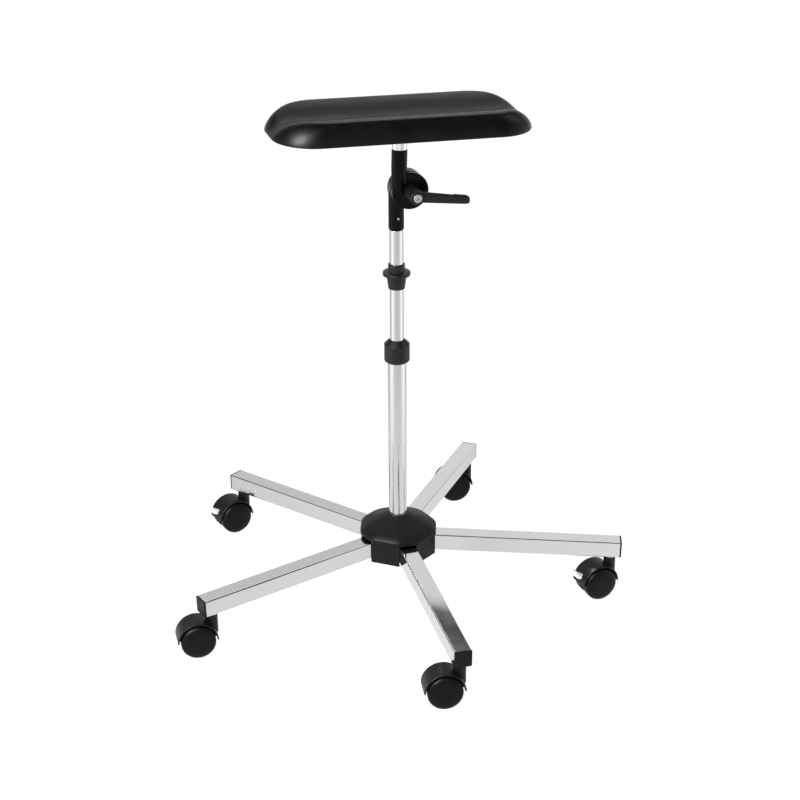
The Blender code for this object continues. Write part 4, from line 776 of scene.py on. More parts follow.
def finish(maker):
    """The material that a function makes, made once."""
    if maker not in FINISHES:
        FINISHES[maker] = maker(bpy.context.scene.rest_stand.colours)
    return FINISHES[maker]


# Operators

class REST_STAND_OT_stage(bpy.types.Operator):
    """Make the floor, the lights and the camera"""
    bl_idname = "rest_stand.stage"
    bl_label = "Stage"
    # Each panel has the name of its brightness, its place and what it faces, both from the foot of the
    # column, and its width and height.
    panels = (
        ("backdrop_left", (-0.85, 1.5, 0.6375), (-0.85, 0, 0.6375), 1.7, 1.275),
        ("backdrop_right", (0.85, 1.5, 0.6375), (0.85, 0, 0.6375), 1.7, 1.275),
        ("key", (-1.4, -1.75, 1.95), (0, 0, 0.7), 1.1, 1.3),
        ("fill", (1.4, 0.35, 1.75), (0, 0, 0.7), 0.5, 0.6),
        ("top", (0, 1.25, 1.86), (0, 0, 0.3), 1.8, 1),
        ("front", (0, -2.2, 0.7), (0, 0, 0.7), 4, 1.4),
        ("left", (-2.2, 0, 0.7), (0, 0, 0.7), 3, 1.4),
        ("right", (2.2, 0, 0.7), (0, 0, 0.7), 3, 1.4))

    def add_panel(self, name, place, target, width, height, brightness):
        """A soft rectangular light that faces a point and is hidden from the camera itself."""
        light = bpy.data.lights.new(name, "AREA")
        light.shape = "RECTANGLE"
        light.size = width
        light.size_y = height
        light.energy = brightness * math.pi * width * height
        panel = bpy.data.objects.new(name, light)
        bpy.context.scene.collection.objects.link(panel)
        place = COLUMN + Vector(place)
        aim = (COLUMN + Vector(target) - place).to_track_quat("-Z", "Y")
        panel.matrix_world = Matrix.Translation(place) @ aim.to_matrix().to_4x4()
        panel.visible_camera = False

    def execute(self, context):
        stand = context.scene.rest_stand
        settings = stand.stage
        shape = bmesh.new()
        bmesh.ops.create_grid(shape, x_segments=1, y_segments=1, size=settings.floor_size / 2)
        mesh = as_mesh(shape, "floor")
        mesh.materials.append(finish(pale_floor))
        floor = bpy.data.objects.new("floor", mesh)
        context.scene.collection.objects.link(floor)

        # The camera sees a room as white as the floor, and reflections see a dimmer one.
        world = bpy.data.worlds.new("studio")
        world.use_nodes = True
        context.scene.world = world
        tree = world.node_tree
        ray = add_node(tree, "ShaderNodeLightPath").outputs["Is Camera Ray"]
        room = add_node(
            tree, "ShaderNodeMix", {"A": (*stand.colours.room, 1), "B": (1, 1, 1, 1)}, {"Factor": ray},
            data_type="RGBA")
        tree.links.new(room.outputs["Result"], tree.nodes["Background"].inputs["Color"])

        for name, place, target, width, height in self.panels:
            self.add_panel(name, place, target, width, height, getattr(settings, name))

        data = bpy.data.cameras.new("camera")
        data.lens = settings.camera_lens
        camera = bpy.data.objects.new("camera", data)
        context.scene.collection.objects.link(camera)
        yaw = Matrix.Rotation(-settings.camera_yaw, 4, "Z")
        pitch = Matrix.Rotation(math.pi / 2 - settings.camera_pitch, 4, "X")
        roll = Matrix.Rotation(settings.camera_roll, 4, "Z")
        place = Matrix.Translation(COLUMN + Vector(settings.camera_place))
        camera.matrix_world = place @ yaw @ pitch @ roll
        context.scene.camera = camera
        context.scene.view_settings.view_transform = "Standard"
        return {"FINISHED"}


def stem_bore(number, arms, castors):
    """The upright bore of a castor's stem, in the frame of its arm."""
    low, high = heights(f"castor_stem_{number}")
    place = Matrix.Translation(on_floor(joint_place(f"castor_{number}_swivel")))
    bore = rod(castors.shank + arms.seam, low, high + arms.seam)
    return moved(bore, arm_frame(number, arms).inverted() @ place)


class REST_STAND_OT_arms(bpy.types.Operator):
    """Make the five chromed square tubes"""
    bl_idname = "rest_stand.arms"
    bl_label = "Arms"

    def tube(self, sizes):
        """One square tube with rounded corners, along +X."""
        shape = bmesh.new()
        ring = bmesh.ops.create_circle(shape, segments=4, radius=sizes.width / math.sqrt(2))["verts"]
        bmesh.ops.rotate(shape, verts=ring, cent=(0, 0, 0), matrix=Matrix.Rotation(math.pi / 4, 3, "Z"))
        bmesh.ops.rotate(shape, verts=ring, cent=(0, 0, 0), matrix=Matrix.Rotation(math.pi / 2, 3, "Y"))
        bmesh.ops.translate(shape, verts=ring, vec=(sizes.root, 0, 0))
        grown = bmesh.ops.extrude_edge_only(shape, edges=shape.edges)["geom"]
        end = [item for item in grown if isinstance(item, bmesh.types.BMVert)]
        bmesh.ops.translate(shape, verts=end, vec=(sizes.reach - sizes.root, 0, 0))
        long_edges = [edge for edge in shape.edges if not edge.is_boundary]
        closed(rounded(shape, long_edges, sizes.corner, CORNER_STEPS))
        bmesh.ops.solidify(shape, geom=shape.faces, thickness=sizes.wall)
        return closed(shape)

    def execute(self, context):
        stand = context.scene.rest_stand
        bore = stem_bore(1, stand.arms, stand.castors)
        tube = combined(self.tube(stand.arms), [bore], "DIFFERENCE")
        for number in ARM_NUMBERS:
            shape = placed_copy(tube, arm_frame(number, stand.arms))
            finished(f"arm_tube_{number}", shape, finish(chrome_plate), "base", "chrome", f"arm_{number}")
        tube.free()
        return {"FINISHED"}


class REST_STAND_OT_end_caps(bpy.types.Operator):
    """Make the moulded caps in the ends of the arms"""
    bl_idname = "rest_stand.end_caps"
    bl_label = "End caps"

    def cap(self, sizes):
        """One cap: a pillowed flange and a plug inside the tube, along +X."""
        inset = sizes.wall + sizes.seam
        flange = rounded_slab(sizes.width, sizes.width, sizes.corner, 0, sizes.cap_flange + sizes.cap_pillow)
        face = max(flange.faces, key=lambda item: item.calc_center_median().z)
        rounded(flange, list(face.edges), sizes.cap_pillow, FINE_EDGE_STEPS)
        inner = sizes.width - 2 * inset
        plug = rounded_slab(inner, inner, sizes.corner / 2, -sizes.cap_plug, sizes.cap_flange / 2)
        shape = combined(flange, [plug], "UNION")
        along = Matrix.Translation((sizes.reach + sizes.seam, 0, 0)) @ Matrix.Rotation(math.pi / 2, 4, "Y")
        return moved(shape, along)

    def execute(self, context):
        stand = context.scene.rest_stand
        bore = stem_bore(1, stand.arms, stand.castors)
        cap = combined(self.cap(stand.arms), [bore], "DIFFERENCE")
        for number in ARM_NUMBERS:
            shape = placed_copy(cap, arm_frame(number, stand.arms))
            node = f"end_cap_{number}"
            finished(f"tube_cap_{number}", shape, finish(matt_nylon), "base", "moulded_nylon", node)
        cap.free()
        return {"FINISHED"}


class REST_STAND_OT_hub(bpy.types.Operator):
    """Make the moulded hub block and the bolt under it"""
    bl_idname = "rest_stand.hub"
    bl_label = "Hub block"

    def block(self, hub, arms, column):
        """The five-sided block, with a slot for each arm and the column's socket."""
        low, high = heights("hub_body")
        shape = bmesh.new()
        corner = hub.flat / math.cos(math.pi / ARM_COUNT)
        ring = bmesh.ops.create_circle(shape, cap_ends=True, segments=ARM_COUNT, radius=corner)["verts"]
        turn = arm_heading(1) - math.atan2(ring[0].co.y, ring[0].co.x)
        bmesh.ops.rotate(shape, verts=ring, cent=(0, 0, 0), matrix=Matrix.Rotation(turn, 3, "Z"))
        bmesh.ops.translate(shape, verts=ring, vec=(0, 0, low))
        raised(shape, high - low)
        half = arms.width / 2 + arms.seam
        start = arms.root - arms.seam
        mouth = arms.root + hub.arm_seat
        over = half + CUT_MARGIN
        slot = moved(plate([
            (start, -half), (mouth, -half), (mouth, low - high), (2 * corner, low - high), (2 * corner, over),
            (start, over)], -half, half), LAY_DOWN)
        cutters = []
        for number in ARM_NUMBERS:
            cutters.append(placed_copy(slot, COLUMN_FRAME.inverted() @ arm_frame(number, arms)))
        slot.free()
        floor = heights("outer_tube")[0] - arms.seam
        recess = low + hub.recess_height
        bolt_hole = hub.bolt + arms.seam
        socket = column.outer + arms.seam
        cutters.append(turned([
            (0, low - CUT_MARGIN), (hub.bolt_recess, low - CUT_MARGIN), (hub.bolt_recess, recess),
            (bolt_hole, recess), (bolt_hole, floor), (socket, floor), (socket, high + CUT_MARGIN),
            (0, high + CUT_MARGIN)]))
        shape = combined(shape, cutters, "DIFFERENCE")
        return soften(shape, hub.edge)

    def bolt(self, hub):
        """The hexagon bolt in the hub's recess."""
        low, high = heights("column_bolt")
        top = low + hub.bolt_head_height
        head = soften(hexagon_bar(hub.bolt_head / math.sqrt(3), low, top), hub.edge / 2)
        return combined(head, [rod(hub.bolt, top - hub.edge, high)], "UNION")

    def execute(self, context):
        stand = context.scene.rest_stand
        shape = moved(self.block(stand.hub, stand.arms, stand.column), COLUMN_FRAME)
        finished("hub_block", shape, finish(matt_nylon), "base", "moulded_nylon", "hub_body")
        bolt = moved(self.bolt(stand.hub), COLUMN_FRAME)
        finished("hub_bolt", bolt, finish(zinc_plated_steel), "base", "zinc_steel", "column_bolt")
        return {"FINISHED"}


class REST_STAND_OT_hub_cover(bpy.types.Operator):
    """Make the moulded cover over the hub"""
    bl_idname = "rest_stand.hub_cover"
    bl_label = "Hub cover"
    # How crisp the corners of the cover's outline are.
    sharpness = 30
    turn_steps = 144
    brim_steps = 14
    cone_steps = 8

    def pentagon(self, heading, sizes):
        """How far a pentagon with cut corners reaches in a direction, as a ratio to its flats."""
        over_arm = sizes.cover_flat / (sizes.cover_flat + sizes.cover_over_arm)
        total = 0
        for side in range(ARM_COUNT):
            arm = arm_heading(1) + side * FULL_TURN / ARM_COUNT
            total += (over_arm * max(0, math.cos(heading - arm))) ** self.sharpness
            total += max(0, math.cos(heading - arm - math.pi / ARM_COUNT)) ** self.sharpness
        return total ** (-1 / self.sharpness)

    def execute(self, context):
        stand = context.scene.rest_stand
        sizes = stand.hub
        low, high = heights("hub_cover")
        bore = stand.column.outer + stand.arms.seam
        shoulder = low + sizes.cover_skirt
        run = sizes.cover_flat - bore
        fall = (high - shoulder - sizes.cover_brim) / run
        profile = [(sizes.cover_flat, low)]
        for x, y in arc(1, 0, math.pi / 2, self.brim_steps):
            inset = sizes.cover_roll * (1 - x)
            profile.append((sizes.cover_flat - inset, shoulder + sizes.cover_brim * y + fall * inset))
        start = sizes.cover_flat - sizes.cover_roll
        for step in range(1, self.cone_steps + 1):
            reach = start + (bore - start) * step / self.cone_steps
            profile.append((reach, high - fall * (reach - bore)))
        profile += [
            (bore, high - sizes.cover_wall),
            (sizes.cover_flat - sizes.cover_rim, shoulder),
            (sizes.cover_flat - sizes.cover_rim, low)]
        shape = turned(profile, self.turn_steps)
        soften(shape, sizes.cover_edge)
        for vert in shape.verts:
            reach = math.hypot(vert.co.x, vert.co.y)
            squareness = min(max((reach - bore) / run, 0), 1)
            stretch = 1 + (self.pentagon(math.atan2(vert.co.y, vert.co.x), sizes) - 1) * squareness
            vert.co.x *= stretch
            vert.co.y *= stretch
        moved(shape, COLUMN_FRAME)
        finished("hub_dome", shape, finish(matt_nylon), "base", "moulded_nylon", "hub_cover")
        return {"FINISHED"}


class REST_STAND_OT_castors(bpy.types.Operator):
    """Make the castors' stems and hoods"""
    bl_idname = "rest_stand.castors"
    bl_label = "Castor stems and hoods"
    arc_steps = 40
    boss_steps = 12
    # How far past the hood's ends the web's outline meets the boss.
    boss_turn = math.radians(30)

    def stem(self, sizes):
        """One stem: the shank in the arm, a flange and the swivel pin."""
        low, high = heights("castor_stem_1")
        neck = heights("castor_hood_1")[1]
        flange = neck + sizes.seam
        shank = flange + sizes.flange_height
        shape = turned([
            (0, low), (sizes.pin, low), (sizes.pin, flange), (sizes.flange, flange), (sizes.flange, shank),
            (sizes.shank, shank), (sizes.shank, high), (0, high)], SMALL_STEPS)
        return soften(shape, sizes.stem_edge)

    def hood(self, sizes, braked):
        """One hood: the shell over both wheels, the web between them and the swivel neck."""
        axle = Matrix.Translation(axle_place())
        outer = sizes.room + sizes.hood_wall
        band = arc(outer, sizes.hood_front, sizes.hood_rear, self.arc_steps)
        band += arc(sizes.room, sizes.hood_rear, sizes.hood_front, self.arc_steps)
        shell = soften(plate(band, -sizes.hood_half, sizes.hood_half), sizes.hood_edge, FINE_EDGE_STEPS)
        outline = arc(sizes.room + sizes.hood_wall / 2, sizes.hood_front, sizes.hood_rear, self.arc_steps)
        boss_start = sizes.hood_rear + self.boss_turn
        boss_end = sizes.hood_front + FULL_TURN - self.boss_turn
        outline += arc(sizes.boss, boss_start, boss_end, self.boss_steps)
        web = moved(plate(outline, -sizes.web_half, sizes.web_half), axle @ LAY_DOWN)
        high = heights("castor_hood_1")[1]
        pin_end = heights("castor_stem_1")[0]
        neck_low = axle_place().z + sizes.neck_foot
        neck = soften(rod(sizes.neck, neck_low, high, TURNED_STEPS), sizes.hood_edge, FINE_EDGE_STEPS)
        room = moved(rod(sizes.room, -sizes.hood_half, sizes.hood_half, TURNED_STEPS), axle @ LAY_DOWN)
        neck = combined(neck, [room], "DIFFERENCE")
        solid = combined(moved(shell, axle @ LAY_DOWN), [web, neck], "UNION")
        pin_bore = rod(sizes.pin + sizes.seam, pin_end - sizes.seam, high + CUT_MARGIN)
        axle_bore = moved(rod(sizes.wheel_bore, -sizes.hood_half, sizes.hood_half), axle @ LAY_DOWN)
        cutters = [pin_bore, axle_bore]
        if braked:
            half = sizes.brake_stem / 2 + sizes.seam
            slot = block(
                (-sizes.brake_slot, -half, -sizes.brake_slot),
                (sizes.brake_slot_reach, half, sizes.brake_slot_height))
            cutters.append(moved(slot, castor_frame(1).inverted() @ brake_frame(1, sizes)))
        return combined(solid, cutters, "DIFFERENCE")

    def execute(self, context):
        sizes = context.scene.rest_stand.castors
        stem = self.stem(sizes)
        hoods = {braked: self.hood(sizes, braked) for braked in (False, True)}
        for number in ARM_NUMBERS:
            place = Matrix.Translation(on_floor(joint_place(f"castor_{number}_swivel")))
            shape = placed_copy(stem, place)
            node = f"castor_stem_{number}"
            finished(f"swivel_stem_{number}", shape, finish(zinc_plated_steel), "base", "zinc_steel", node)
            hood = placed_copy(hoods[f"brake_{number}_press" in JOINTS], castor_frame(number))
            body = f"castor_{number}"
            node = f"castor_hood_{number}"
            finished(f"hood_{number}", hood, finish(hood_nylon), body, "castor_nylon", node)
        for spare in (stem, *hoods.values()):
            spare.free()
        return {"FINISHED"}


class REST_STAND_OT_wheels(bpy.types.Operator):
    """Make the ten castor wheels"""
    bl_idname = "rest_stand.wheels"
    bl_label = "Wheels"
    crown_steps = 16

    def wheel(self, sizes):
        """One wheel, cup-shaped, with its domed face outwards along +Z."""
        face = sizes.wheel_inner + sizes.wheel_tread
        crown = face + sizes.wheel_crown
        run = sizes.wheel_radius - sizes.wheel_flat
        profile = [(0, crown)]
        for x, y in arc(1, math.pi / 2, 0, self.crown_steps):
            profile.append((sizes.wheel_flat + run * x, face + sizes.wheel_crown * y))
        inside = sizes.wheel_radius - sizes.wheel_rim
        hub = sizes.wheel_bore + sizes.wheel_rim
        profile += [
            (sizes.wheel_radius, sizes.wheel_inner),
            (inside, sizes.wheel_inner),
            (inside, face - sizes.wheel_rim),
            (hub, face),
            (hub, sizes.wheel_inner),
            (sizes.wheel_bore, sizes.wheel_inner),
            (sizes.wheel_bore, face),
            (0, face)]
        return soften(turned(profile), sizes.wheel_edge)

    def execute(self, context):
        sizes = context.scene.rest_stand.castors
        wheel = self.wheel(sizes)
        for number in ARM_NUMBERS:
            axle = castor_frame(number) @ Matrix.Translation(axle_place())
            for side, lay, initial in (("right", LAY_DOWN, "r"), ("left", LAY_LEFT, "l")):
                shape = placed_copy(wheel, axle @ lay)
                body = f"wheel_{initial}{number}"
                node = f"wheel_{side}_{number}"
                finished(f"roller_{side}_{number}", shape, finish(wheel_nylon), body, "castor_nylon", node)
        wheel.free()
        return {"FINISHED"}


def brake_frame(number, sizes):
    """The frame of a brake lever: its pivot, with +X out of the hood."""
    place = castor_frame(number).inverted() @ joint_place(f"brake_{number}_press")
    turn = Matrix.Rotation(-sizes.brake_angle, 4, "Y")
    return castor_frame(number) @ Matrix.Translation(place) @ turn


class REST_STAND_OT_brakes(bpy.types.Operator):
    """Make the foot levers of the braked castors"""
    bl_idname = "rest_stand.brakes"
    bl_label = "Brake levers"

    def lever(self, sizes):
        """One lever: its pivot barrel, a stem through the hood and the foot tab."""
        half = sizes.tab_thickness / 2
        stem_half = sizes.brake_stem / 2
        middle = sizes.tab_start + sizes.tab_length / 2
        tab = rounded_slab(sizes.tab_length, sizes.tab_width, sizes.tab_corner, -half, half)
        soften(moved(tab, Matrix.Translation((middle, 0, 0))), sizes.tab_edge, FINE_EDGE_STEPS)
        side = stem_half - WELD
        face = half - sizes.brake_stem_step
        stem = block((0, -side, -face), (middle, side, face))
        barrel = moved(rod(sizes.brake_barrel, -stem_half, stem_half), LAY_DOWN)
        return combined(barrel, [stem, tab], "UNION")

    def execute(self, context):
        sizes = context.scene.rest_stand.castors
        lever = self.lever(sizes)
        for number in ARM_NUMBERS:
            if f"brake_{number}_press" not in JOINTS:
                continue
            shape = placed_copy(lever, brake_frame(number, sizes))
            body = f"brake_{number}"
            node = f"brake_lever_{number}"
            finished(f"foot_lever_{number}", shape, finish(grey_nylon), body, "brake_nylon", node)
        lever.free()
        return {"FINISHED"}


class REST_STAND_OT_column(bpy.types.Operator):
    """Make the two chromed tubes of the column"""
    bl_idname = "rest_stand.column"
    bl_label = "Column tubes"

    def execute(self, context):
        sizes = context.scene.rest_stand.column
        tubes = (
            ("outer_tube", "base", sizes.outer_bore, sizes.outer),
            ("inner_tube", "mast", sizes.inner_bore, sizes.inner))
        for node, body, bore, radius in tubes:
            low, high = heights(node)
            shape = turned([(bore, low), (radius, low), (radius, high), (bore, high)])
            shape = moved(soften(shape, sizes.tube_edge), COLUMN_FRAME)
            finished(f"{node}_chromed", shape, finish(chrome_plate), body, "chrome", node)
        return {"FINISHED"}


class REST_STAND_OT_collars(bpy.types.Operator):
    """Make the clamp collar and the stop collar"""
    bl_idname = "rest_stand.collars"
    bl_label = "Collars"

    def execute(self, context):
        sizes = context.scene.rest_stand.column
        low, high = heights("clamp_collar")
        shoulder = high - sizes.collar_cone
        foot = low + sizes.collar_foot
        bore = sizes.outer + sizes.seam
        lip = sizes.inner + 2 * sizes.seam
        shape = turned([
            (bore, low), (bore + sizes.collar_foot_wall, low), (sizes.collar, foot), (sizes.collar, shoulder),
            (lip + sizes.collar_lip, high), (lip, high), (lip, high - sizes.collar_lip_height),
            (bore, high - sizes.collar_bore_top)])
        soften(shape, sizes.collar_edge)
        collar = moved(shape, COLUMN_FRAME)
        finished("grip_collar", collar, finish(charcoal_nylon), "collar", "moulded_nylon", "clamp_collar")
        low, high = heights("stop_collar")
        bore = sizes.inner + sizes.seam
        body_top = low + sizes.stop_body
        flange_low = body_top + sizes.stop_slope
        flange_top = flange_low + sizes.flange_height
        neck = flange_top + sizes.stop_slope / 2
        shape = turned([
            (bore, low), (bore + sizes.stop_foot_wall, low), (bore + sizes.stop_wall, body_top),
            (sizes.flange, flange_low), (sizes.flange, flange_top), (bore + sizes.stop_neck_base, neck),
            (bore + sizes.stop_neck_wall, high), (bore, high)])
        soften(shape, sizes.collar_edge)
        collar = moved(shape, COLUMN_FRAME)
        finished("rest_collar", collar, finish(charcoal_nylon), "mast", "moulded_nylon", "stop_collar")
        return {"FINISHED"}


class REST_STAND_OT_joint(bpy.types.Operator):
    """Make the two castings of the tilting joint"""
    bl_idname = "rest_stand.joint"
    bl_label = "Clamp joint"

    def stem(self, sizes, radius, offset, low, high):
        """An upright bar on the axis of a stem, beside the clamp axis."""
        return moved(rod(radius, low, high, TURNED_STEPS), self.beside(sizes, offset))

    def beside(self, sizes, offset):
        """The place of a stem's axis, from the clamp axis."""
        return Matrix.Translation((sizes.stem - sizes.disc, -offset, 0))

    def screw_hole(self, sizes, offset, height, turn):
        """A set screw's hole, from a stem's outside to its bore."""
        hole = rod(sizes.set_screw + sizes.seam, 0, sizes.stem + CUT_MARGIN)
        return moved(hole, self.beside(sizes, offset) @ Matrix.Translation((0, 0, height)) @ turn)

    def lower(self, sizes):
        """The half on the mast: a thick disc and the stem over the tube's stub."""
        face = sizes.parting - sizes.seam / 2
        disc = soften(rod(sizes.disc, -sizes.rear, face, TURNED_STEPS), sizes.edge, FINE_EDGE_STEPS)
        stem = soften(self.stem(sizes, sizes.stem, 0, -sizes.reach, 0), sizes.edge, FINE_EDGE_STEPS)
        half = combined(moved(disc, LAY_DOWN), [stem], "UNION")
        bore = self.stem(sizes, sizes.bore, 0, -sizes.reach - CUT_MARGIN, sizes.bore_depth - sizes.reach)
        clamp = moved(rod(sizes.bolt_hole, -2 * sizes.disc, 2 * sizes.disc), LAY_DOWN)
        hole = self.screw_hole(sizes, 0, sizes.set_screw_inset - sizes.reach, LAY_DOWN)
        return combined(half, [bore, clamp, hole], "DIFFERENCE")

    def upper(self, sizes):
        """The tilting half: a flat disc and the stem round the spigot."""
        face = sizes.parting + sizes.seam / 2
        disc = soften(rod(sizes.disc, face, sizes.front, TURNED_STEPS), sizes.edge, FINE_EDGE_STEPS)
        stem = self.stem(sizes, sizes.stem, sizes.upper_offset, 0, sizes.reach)
        soften(stem, sizes.edge, FINE_EDGE_STEPS)
        clear = sizes.disc + sizes.disc_room
        behind = block((-2 * clear, -face - sizes.parting_room, -clear), (2 * clear, 2 * clear, clear))
        stem = combined(stem, [behind], "DIFFERENCE")
        half = combined(moved(disc, LAY_DOWN), [stem], "UNION")
        bore = self.stem(
            sizes, sizes.bore, sizes.upper_offset, sizes.reach - sizes.bore_depth, sizes.reach + CUT_MARGIN)
        clamp = moved(rod(sizes.bolt_hole, -2 * sizes.disc, 2 * sizes.disc), LAY_DOWN)
        spot_radius = sizes.lever_hub + sizes.spot_margin
        spot = rod(spot_radius, sizes.front - sizes.spot_depth, 2 * sizes.disc, TURNED_STEPS)
        hole = self.screw_hole(sizes, sizes.upper_offset, sizes.reach - sizes.set_screw_inset, LAY_LEFT)
        return combined(half, [bore, clamp, moved(spot, LAY_DOWN), hole], "DIFFERENCE")

    def execute(self, context):
        sizes = context.scene.rest_stand.joint
        lower = moved(self.lower(sizes), JOINT_FRAME)
        finished("lower_casting", lower, finish(black_lacquer), "mast", "lacquered_zinc", "joint_lower")
        upper = moved(self.upper(sizes), tilting_frame(sizes))
        finished("upper_casting", upper, finish(black_lacquer), "head", "lacquered_zinc", "joint_upper")
        return {"FINISHED"}


def socket_cap(radius, low, high, socket, depth, edge):
    """A screw head along Z, with a hexagon socket in its top."""
    head = soften(rod(radius, low, high, TURNED_STEPS), edge)
    return combined(head, [hexagon_bar(socket, high - depth, high + CUT_MARGIN)], "DIFFERENCE")


class REST_STAND_OT_screws(bpy.types.Operator):
    """Make the set screws and the clamp bolt"""
    bl_idname = "rest_stand.screws"
    bl_label = "Joint screws"

    def execute(self, context):
        sizes = context.scene.rest_stand.joint
        steel = finish(zinc_plated_steel)
        beside = sizes.stem - sizes.disc
        low = sizes.bore
        high = sizes.stem - sizes.seam
        places = (
            ("lower", "mast", JOINT_FRAME, 0, sizes.set_screw_inset - sizes.reach, LAY_DOWN),
            ("upper", "head", tilting_frame(sizes), sizes.upper_offset,
             sizes.reach - sizes.set_screw_inset, LAY_LEFT))
        for side, body, place, offset, height, lay in places:
            screw = socket_cap(
                sizes.set_screw, low, high, sizes.set_screw_socket, sizes.set_screw_depth,
                sizes.set_screw_edge)
            moved(screw, place @ Matrix.Translation((beside, -offset, height)) @ lay)
            finished(f"grub_screw_{side}", screw, steel, body, "zinc_steel", f"set_screw_{side}")
        seat = -sizes.rear - sizes.seam
        head = socket_cap(
            sizes.bolt_head, -seat, sizes.bolt_head_height - seat, sizes.bolt_socket, sizes.bolt_socket_depth,
            sizes.bolt_edge)
        tip = -(sizes.lever_base + sizes.bolt_grip)
        shank = rod(sizes.bolt, tip, -seat + sizes.shank_overlap)
        bolt = combined(head, [shank], "UNION")
        moved(bolt, JOINT_FRAME @ LAY_LEFT)
        finished("joint_bolt", bolt, steel, "mast", "zinc_steel", "clamp_bolt")
        return {"FINISHED"}


class REST_STAND_OT_lever(bpy.types.Operator):
    """Make the clamping lever, with the socket for its insert, and its screw"""
    bl_idname = "rest_stand.lever"
    bl_label = "Clamping lever"
    arm_steps = 10
    # The tip narrows along an arc that ends short of a point, and droops by a share of half its narrowing.
    tip_steps = 8
    tip_end = math.radians(9)
    tip_droop = 0.6
    # The arm's corner radius as a share of its thickness.
    corner = 0.4

    def arm(self, sizes):
        """The tapered arm along +X, which slants away from the joint, with a thumb step and a sloping tip."""
        root = sizes.lever_nose - sizes.lever_below
        straight = sizes.lever_reach - sizes.lever_roll
        thumb = straight - sizes.thumb_length
        corner = self.corner * sizes.lever_thickness
        shape = rounded_sheet(sizes.lever_thickness, sizes.lever_root, corner)
        # The sheet stands upright across the arm, with its X and Y along Y and Z.
        upright = Matrix(((0, 0, 1), (1, 0, 0), (0, 1, 0))).to_4x4()
        moved(shape, Matrix.Translation((0, -root, 0)) @ upright)
        shape.faces.ensure_lookup_table()
        face = shape.faces[0]
        stations = [(thumb * step / self.arm_steps, 0) for step in range(1, self.arm_steps + 1)]
        stations += [(thumb + sizes.thumb_ramp, sizes.thumb_step), (straight, sizes.thumb_step)]
        thickness, depth = sizes.lever_thickness, sizes.lever_root
        reached, lift = 0, 0
        for distance, raise_by in stations:
            share = distance / straight
            thinner = sizes.lever_thickness + (sizes.lever_thin - sizes.lever_thickness) * share
            lower = sizes.lever_root + (sizes.lever_tip - sizes.lever_root) * share + raise_by
            along = distance - reached
            step = (along, -sizes.lever_rise * along / straight, (raise_by - lift) / 2)
            face = extended(shape, face, (1, thinner / thickness, lower / depth), step)
            thickness, depth, reached, lift = thinner, lower, distance, raise_by
        reached, width = 0, 1
        for x, y in arc(1, math.pi / 2, self.tip_end, self.tip_steps)[1:]:
            narrowing = (width - y) * sizes.lever_thin
            thinner, lower = y * sizes.lever_thin, depth - narrowing
            step = (sizes.lever_roll * (x - reached), 0, -self.tip_droop * narrowing / 2)
            face = extended(shape, face, (1, thinner / thickness, lower / depth), step)
            thickness, depth, reached, width = thinner, lower, x, y
        return closed(shape)

    def execute(self, context):
        sizes = context.scene.rest_stand.joint
        place = JOINT_FRAME @ Matrix.Rotation(sizes.lever_turn, 4, "Y")
        nose = sizes.lever_hub - sizes.lever_draft
        hub = turned([
            (0, sizes.lever_base), (sizes.lever_hub, sizes.lever_base), (nose, sizes.lever_nose),
            (0, sizes.lever_nose)])
        hub = moved(soften(hub, sizes.lever_edge, FINE_EDGE_STEPS), LAY_DOWN)
        handle = combined(hub, [self.arm(sizes)], "UNION")
        bore_floor = sizes.screw_seat - sizes.lever_bore_depth
        bore = rod(sizes.screw_head + sizes.seam, bore_floor, sizes.lever_nose + CUT_MARGIN)
        socket_end = sizes.screw_seat - sizes.lever_web
        socket = rod(sizes.lever_socket, sizes.lever_base - CUT_MARGIN, socket_end)
        hole = rod(sizes.screw + sizes.seam, sizes.lever_base, sizes.lever_nose)
        cutters = [moved(shape, LAY_DOWN) for shape in (bore, socket, hole)]
        handle = moved(combined(handle, cutters, "DIFFERENCE"), place)
        finished("lever_handle", handle, finish(powder_coat), "handle", "lacquered_zinc", "lever")
        head = socket_cap(
            sizes.screw_head, sizes.screw_seat, sizes.lever_nose, sizes.screw_socket,
            sizes.screw_socket_depth, sizes.screw_edge)
        shank = rod(sizes.screw, sizes.lever_base + sizes.screw_end, sizes.screw_seat + sizes.shank_overlap)
        screw = moved(combined(head, [shank], "UNION"), place @ LAY_DOWN)
        finished("handle_screw", screw, finish(zinc_plated_steel), "clamp", "zinc_steel", "lever_screw")
        return {"FINISHED"}


class REST_STAND_OT_spigot(bpy.types.Operator):
    """Make the chromed spigot and the steel plate under the pad"""
    bl_idname = "rest_stand.spigot"
    bl_label = "Spigot and plate"

    def execute(self, context):
        stand = context.scene.rest_stand
        sizes = stand.joint
        pad = stand.pad
        base = sizes.reach + sizes.seam
        top = base + sizes.spigot_length
        foot = base - sizes.bore_depth + sizes.seam
        spigot = turned([
            (0, foot), (sizes.spigot_stub, foot), (sizes.spigot_stub, base), (sizes.spigot, base),
            (sizes.spigot, top), (0, top)])
        spigot = moved(soften(spigot, sizes.spigot_edge), spigot_frame(sizes))
        finished("spigot_post", spigot, finish(chrome_plate), "head", "chrome", "spigot")
        high = pad.base - sizes.seam
        low = high - pad.plate_thickness
        slab = rounded_slab(pad.plate_length, pad.plate_width, pad.plate_corner, low, high)
        slab = moved(soften(slab, pad.plate_edge), pad_frame(stand))
        finished("carrier_plate", slab, finish(zinc_plated_steel), "head", "zinc_steel", "pad_plate")
        return {"FINISHED"}


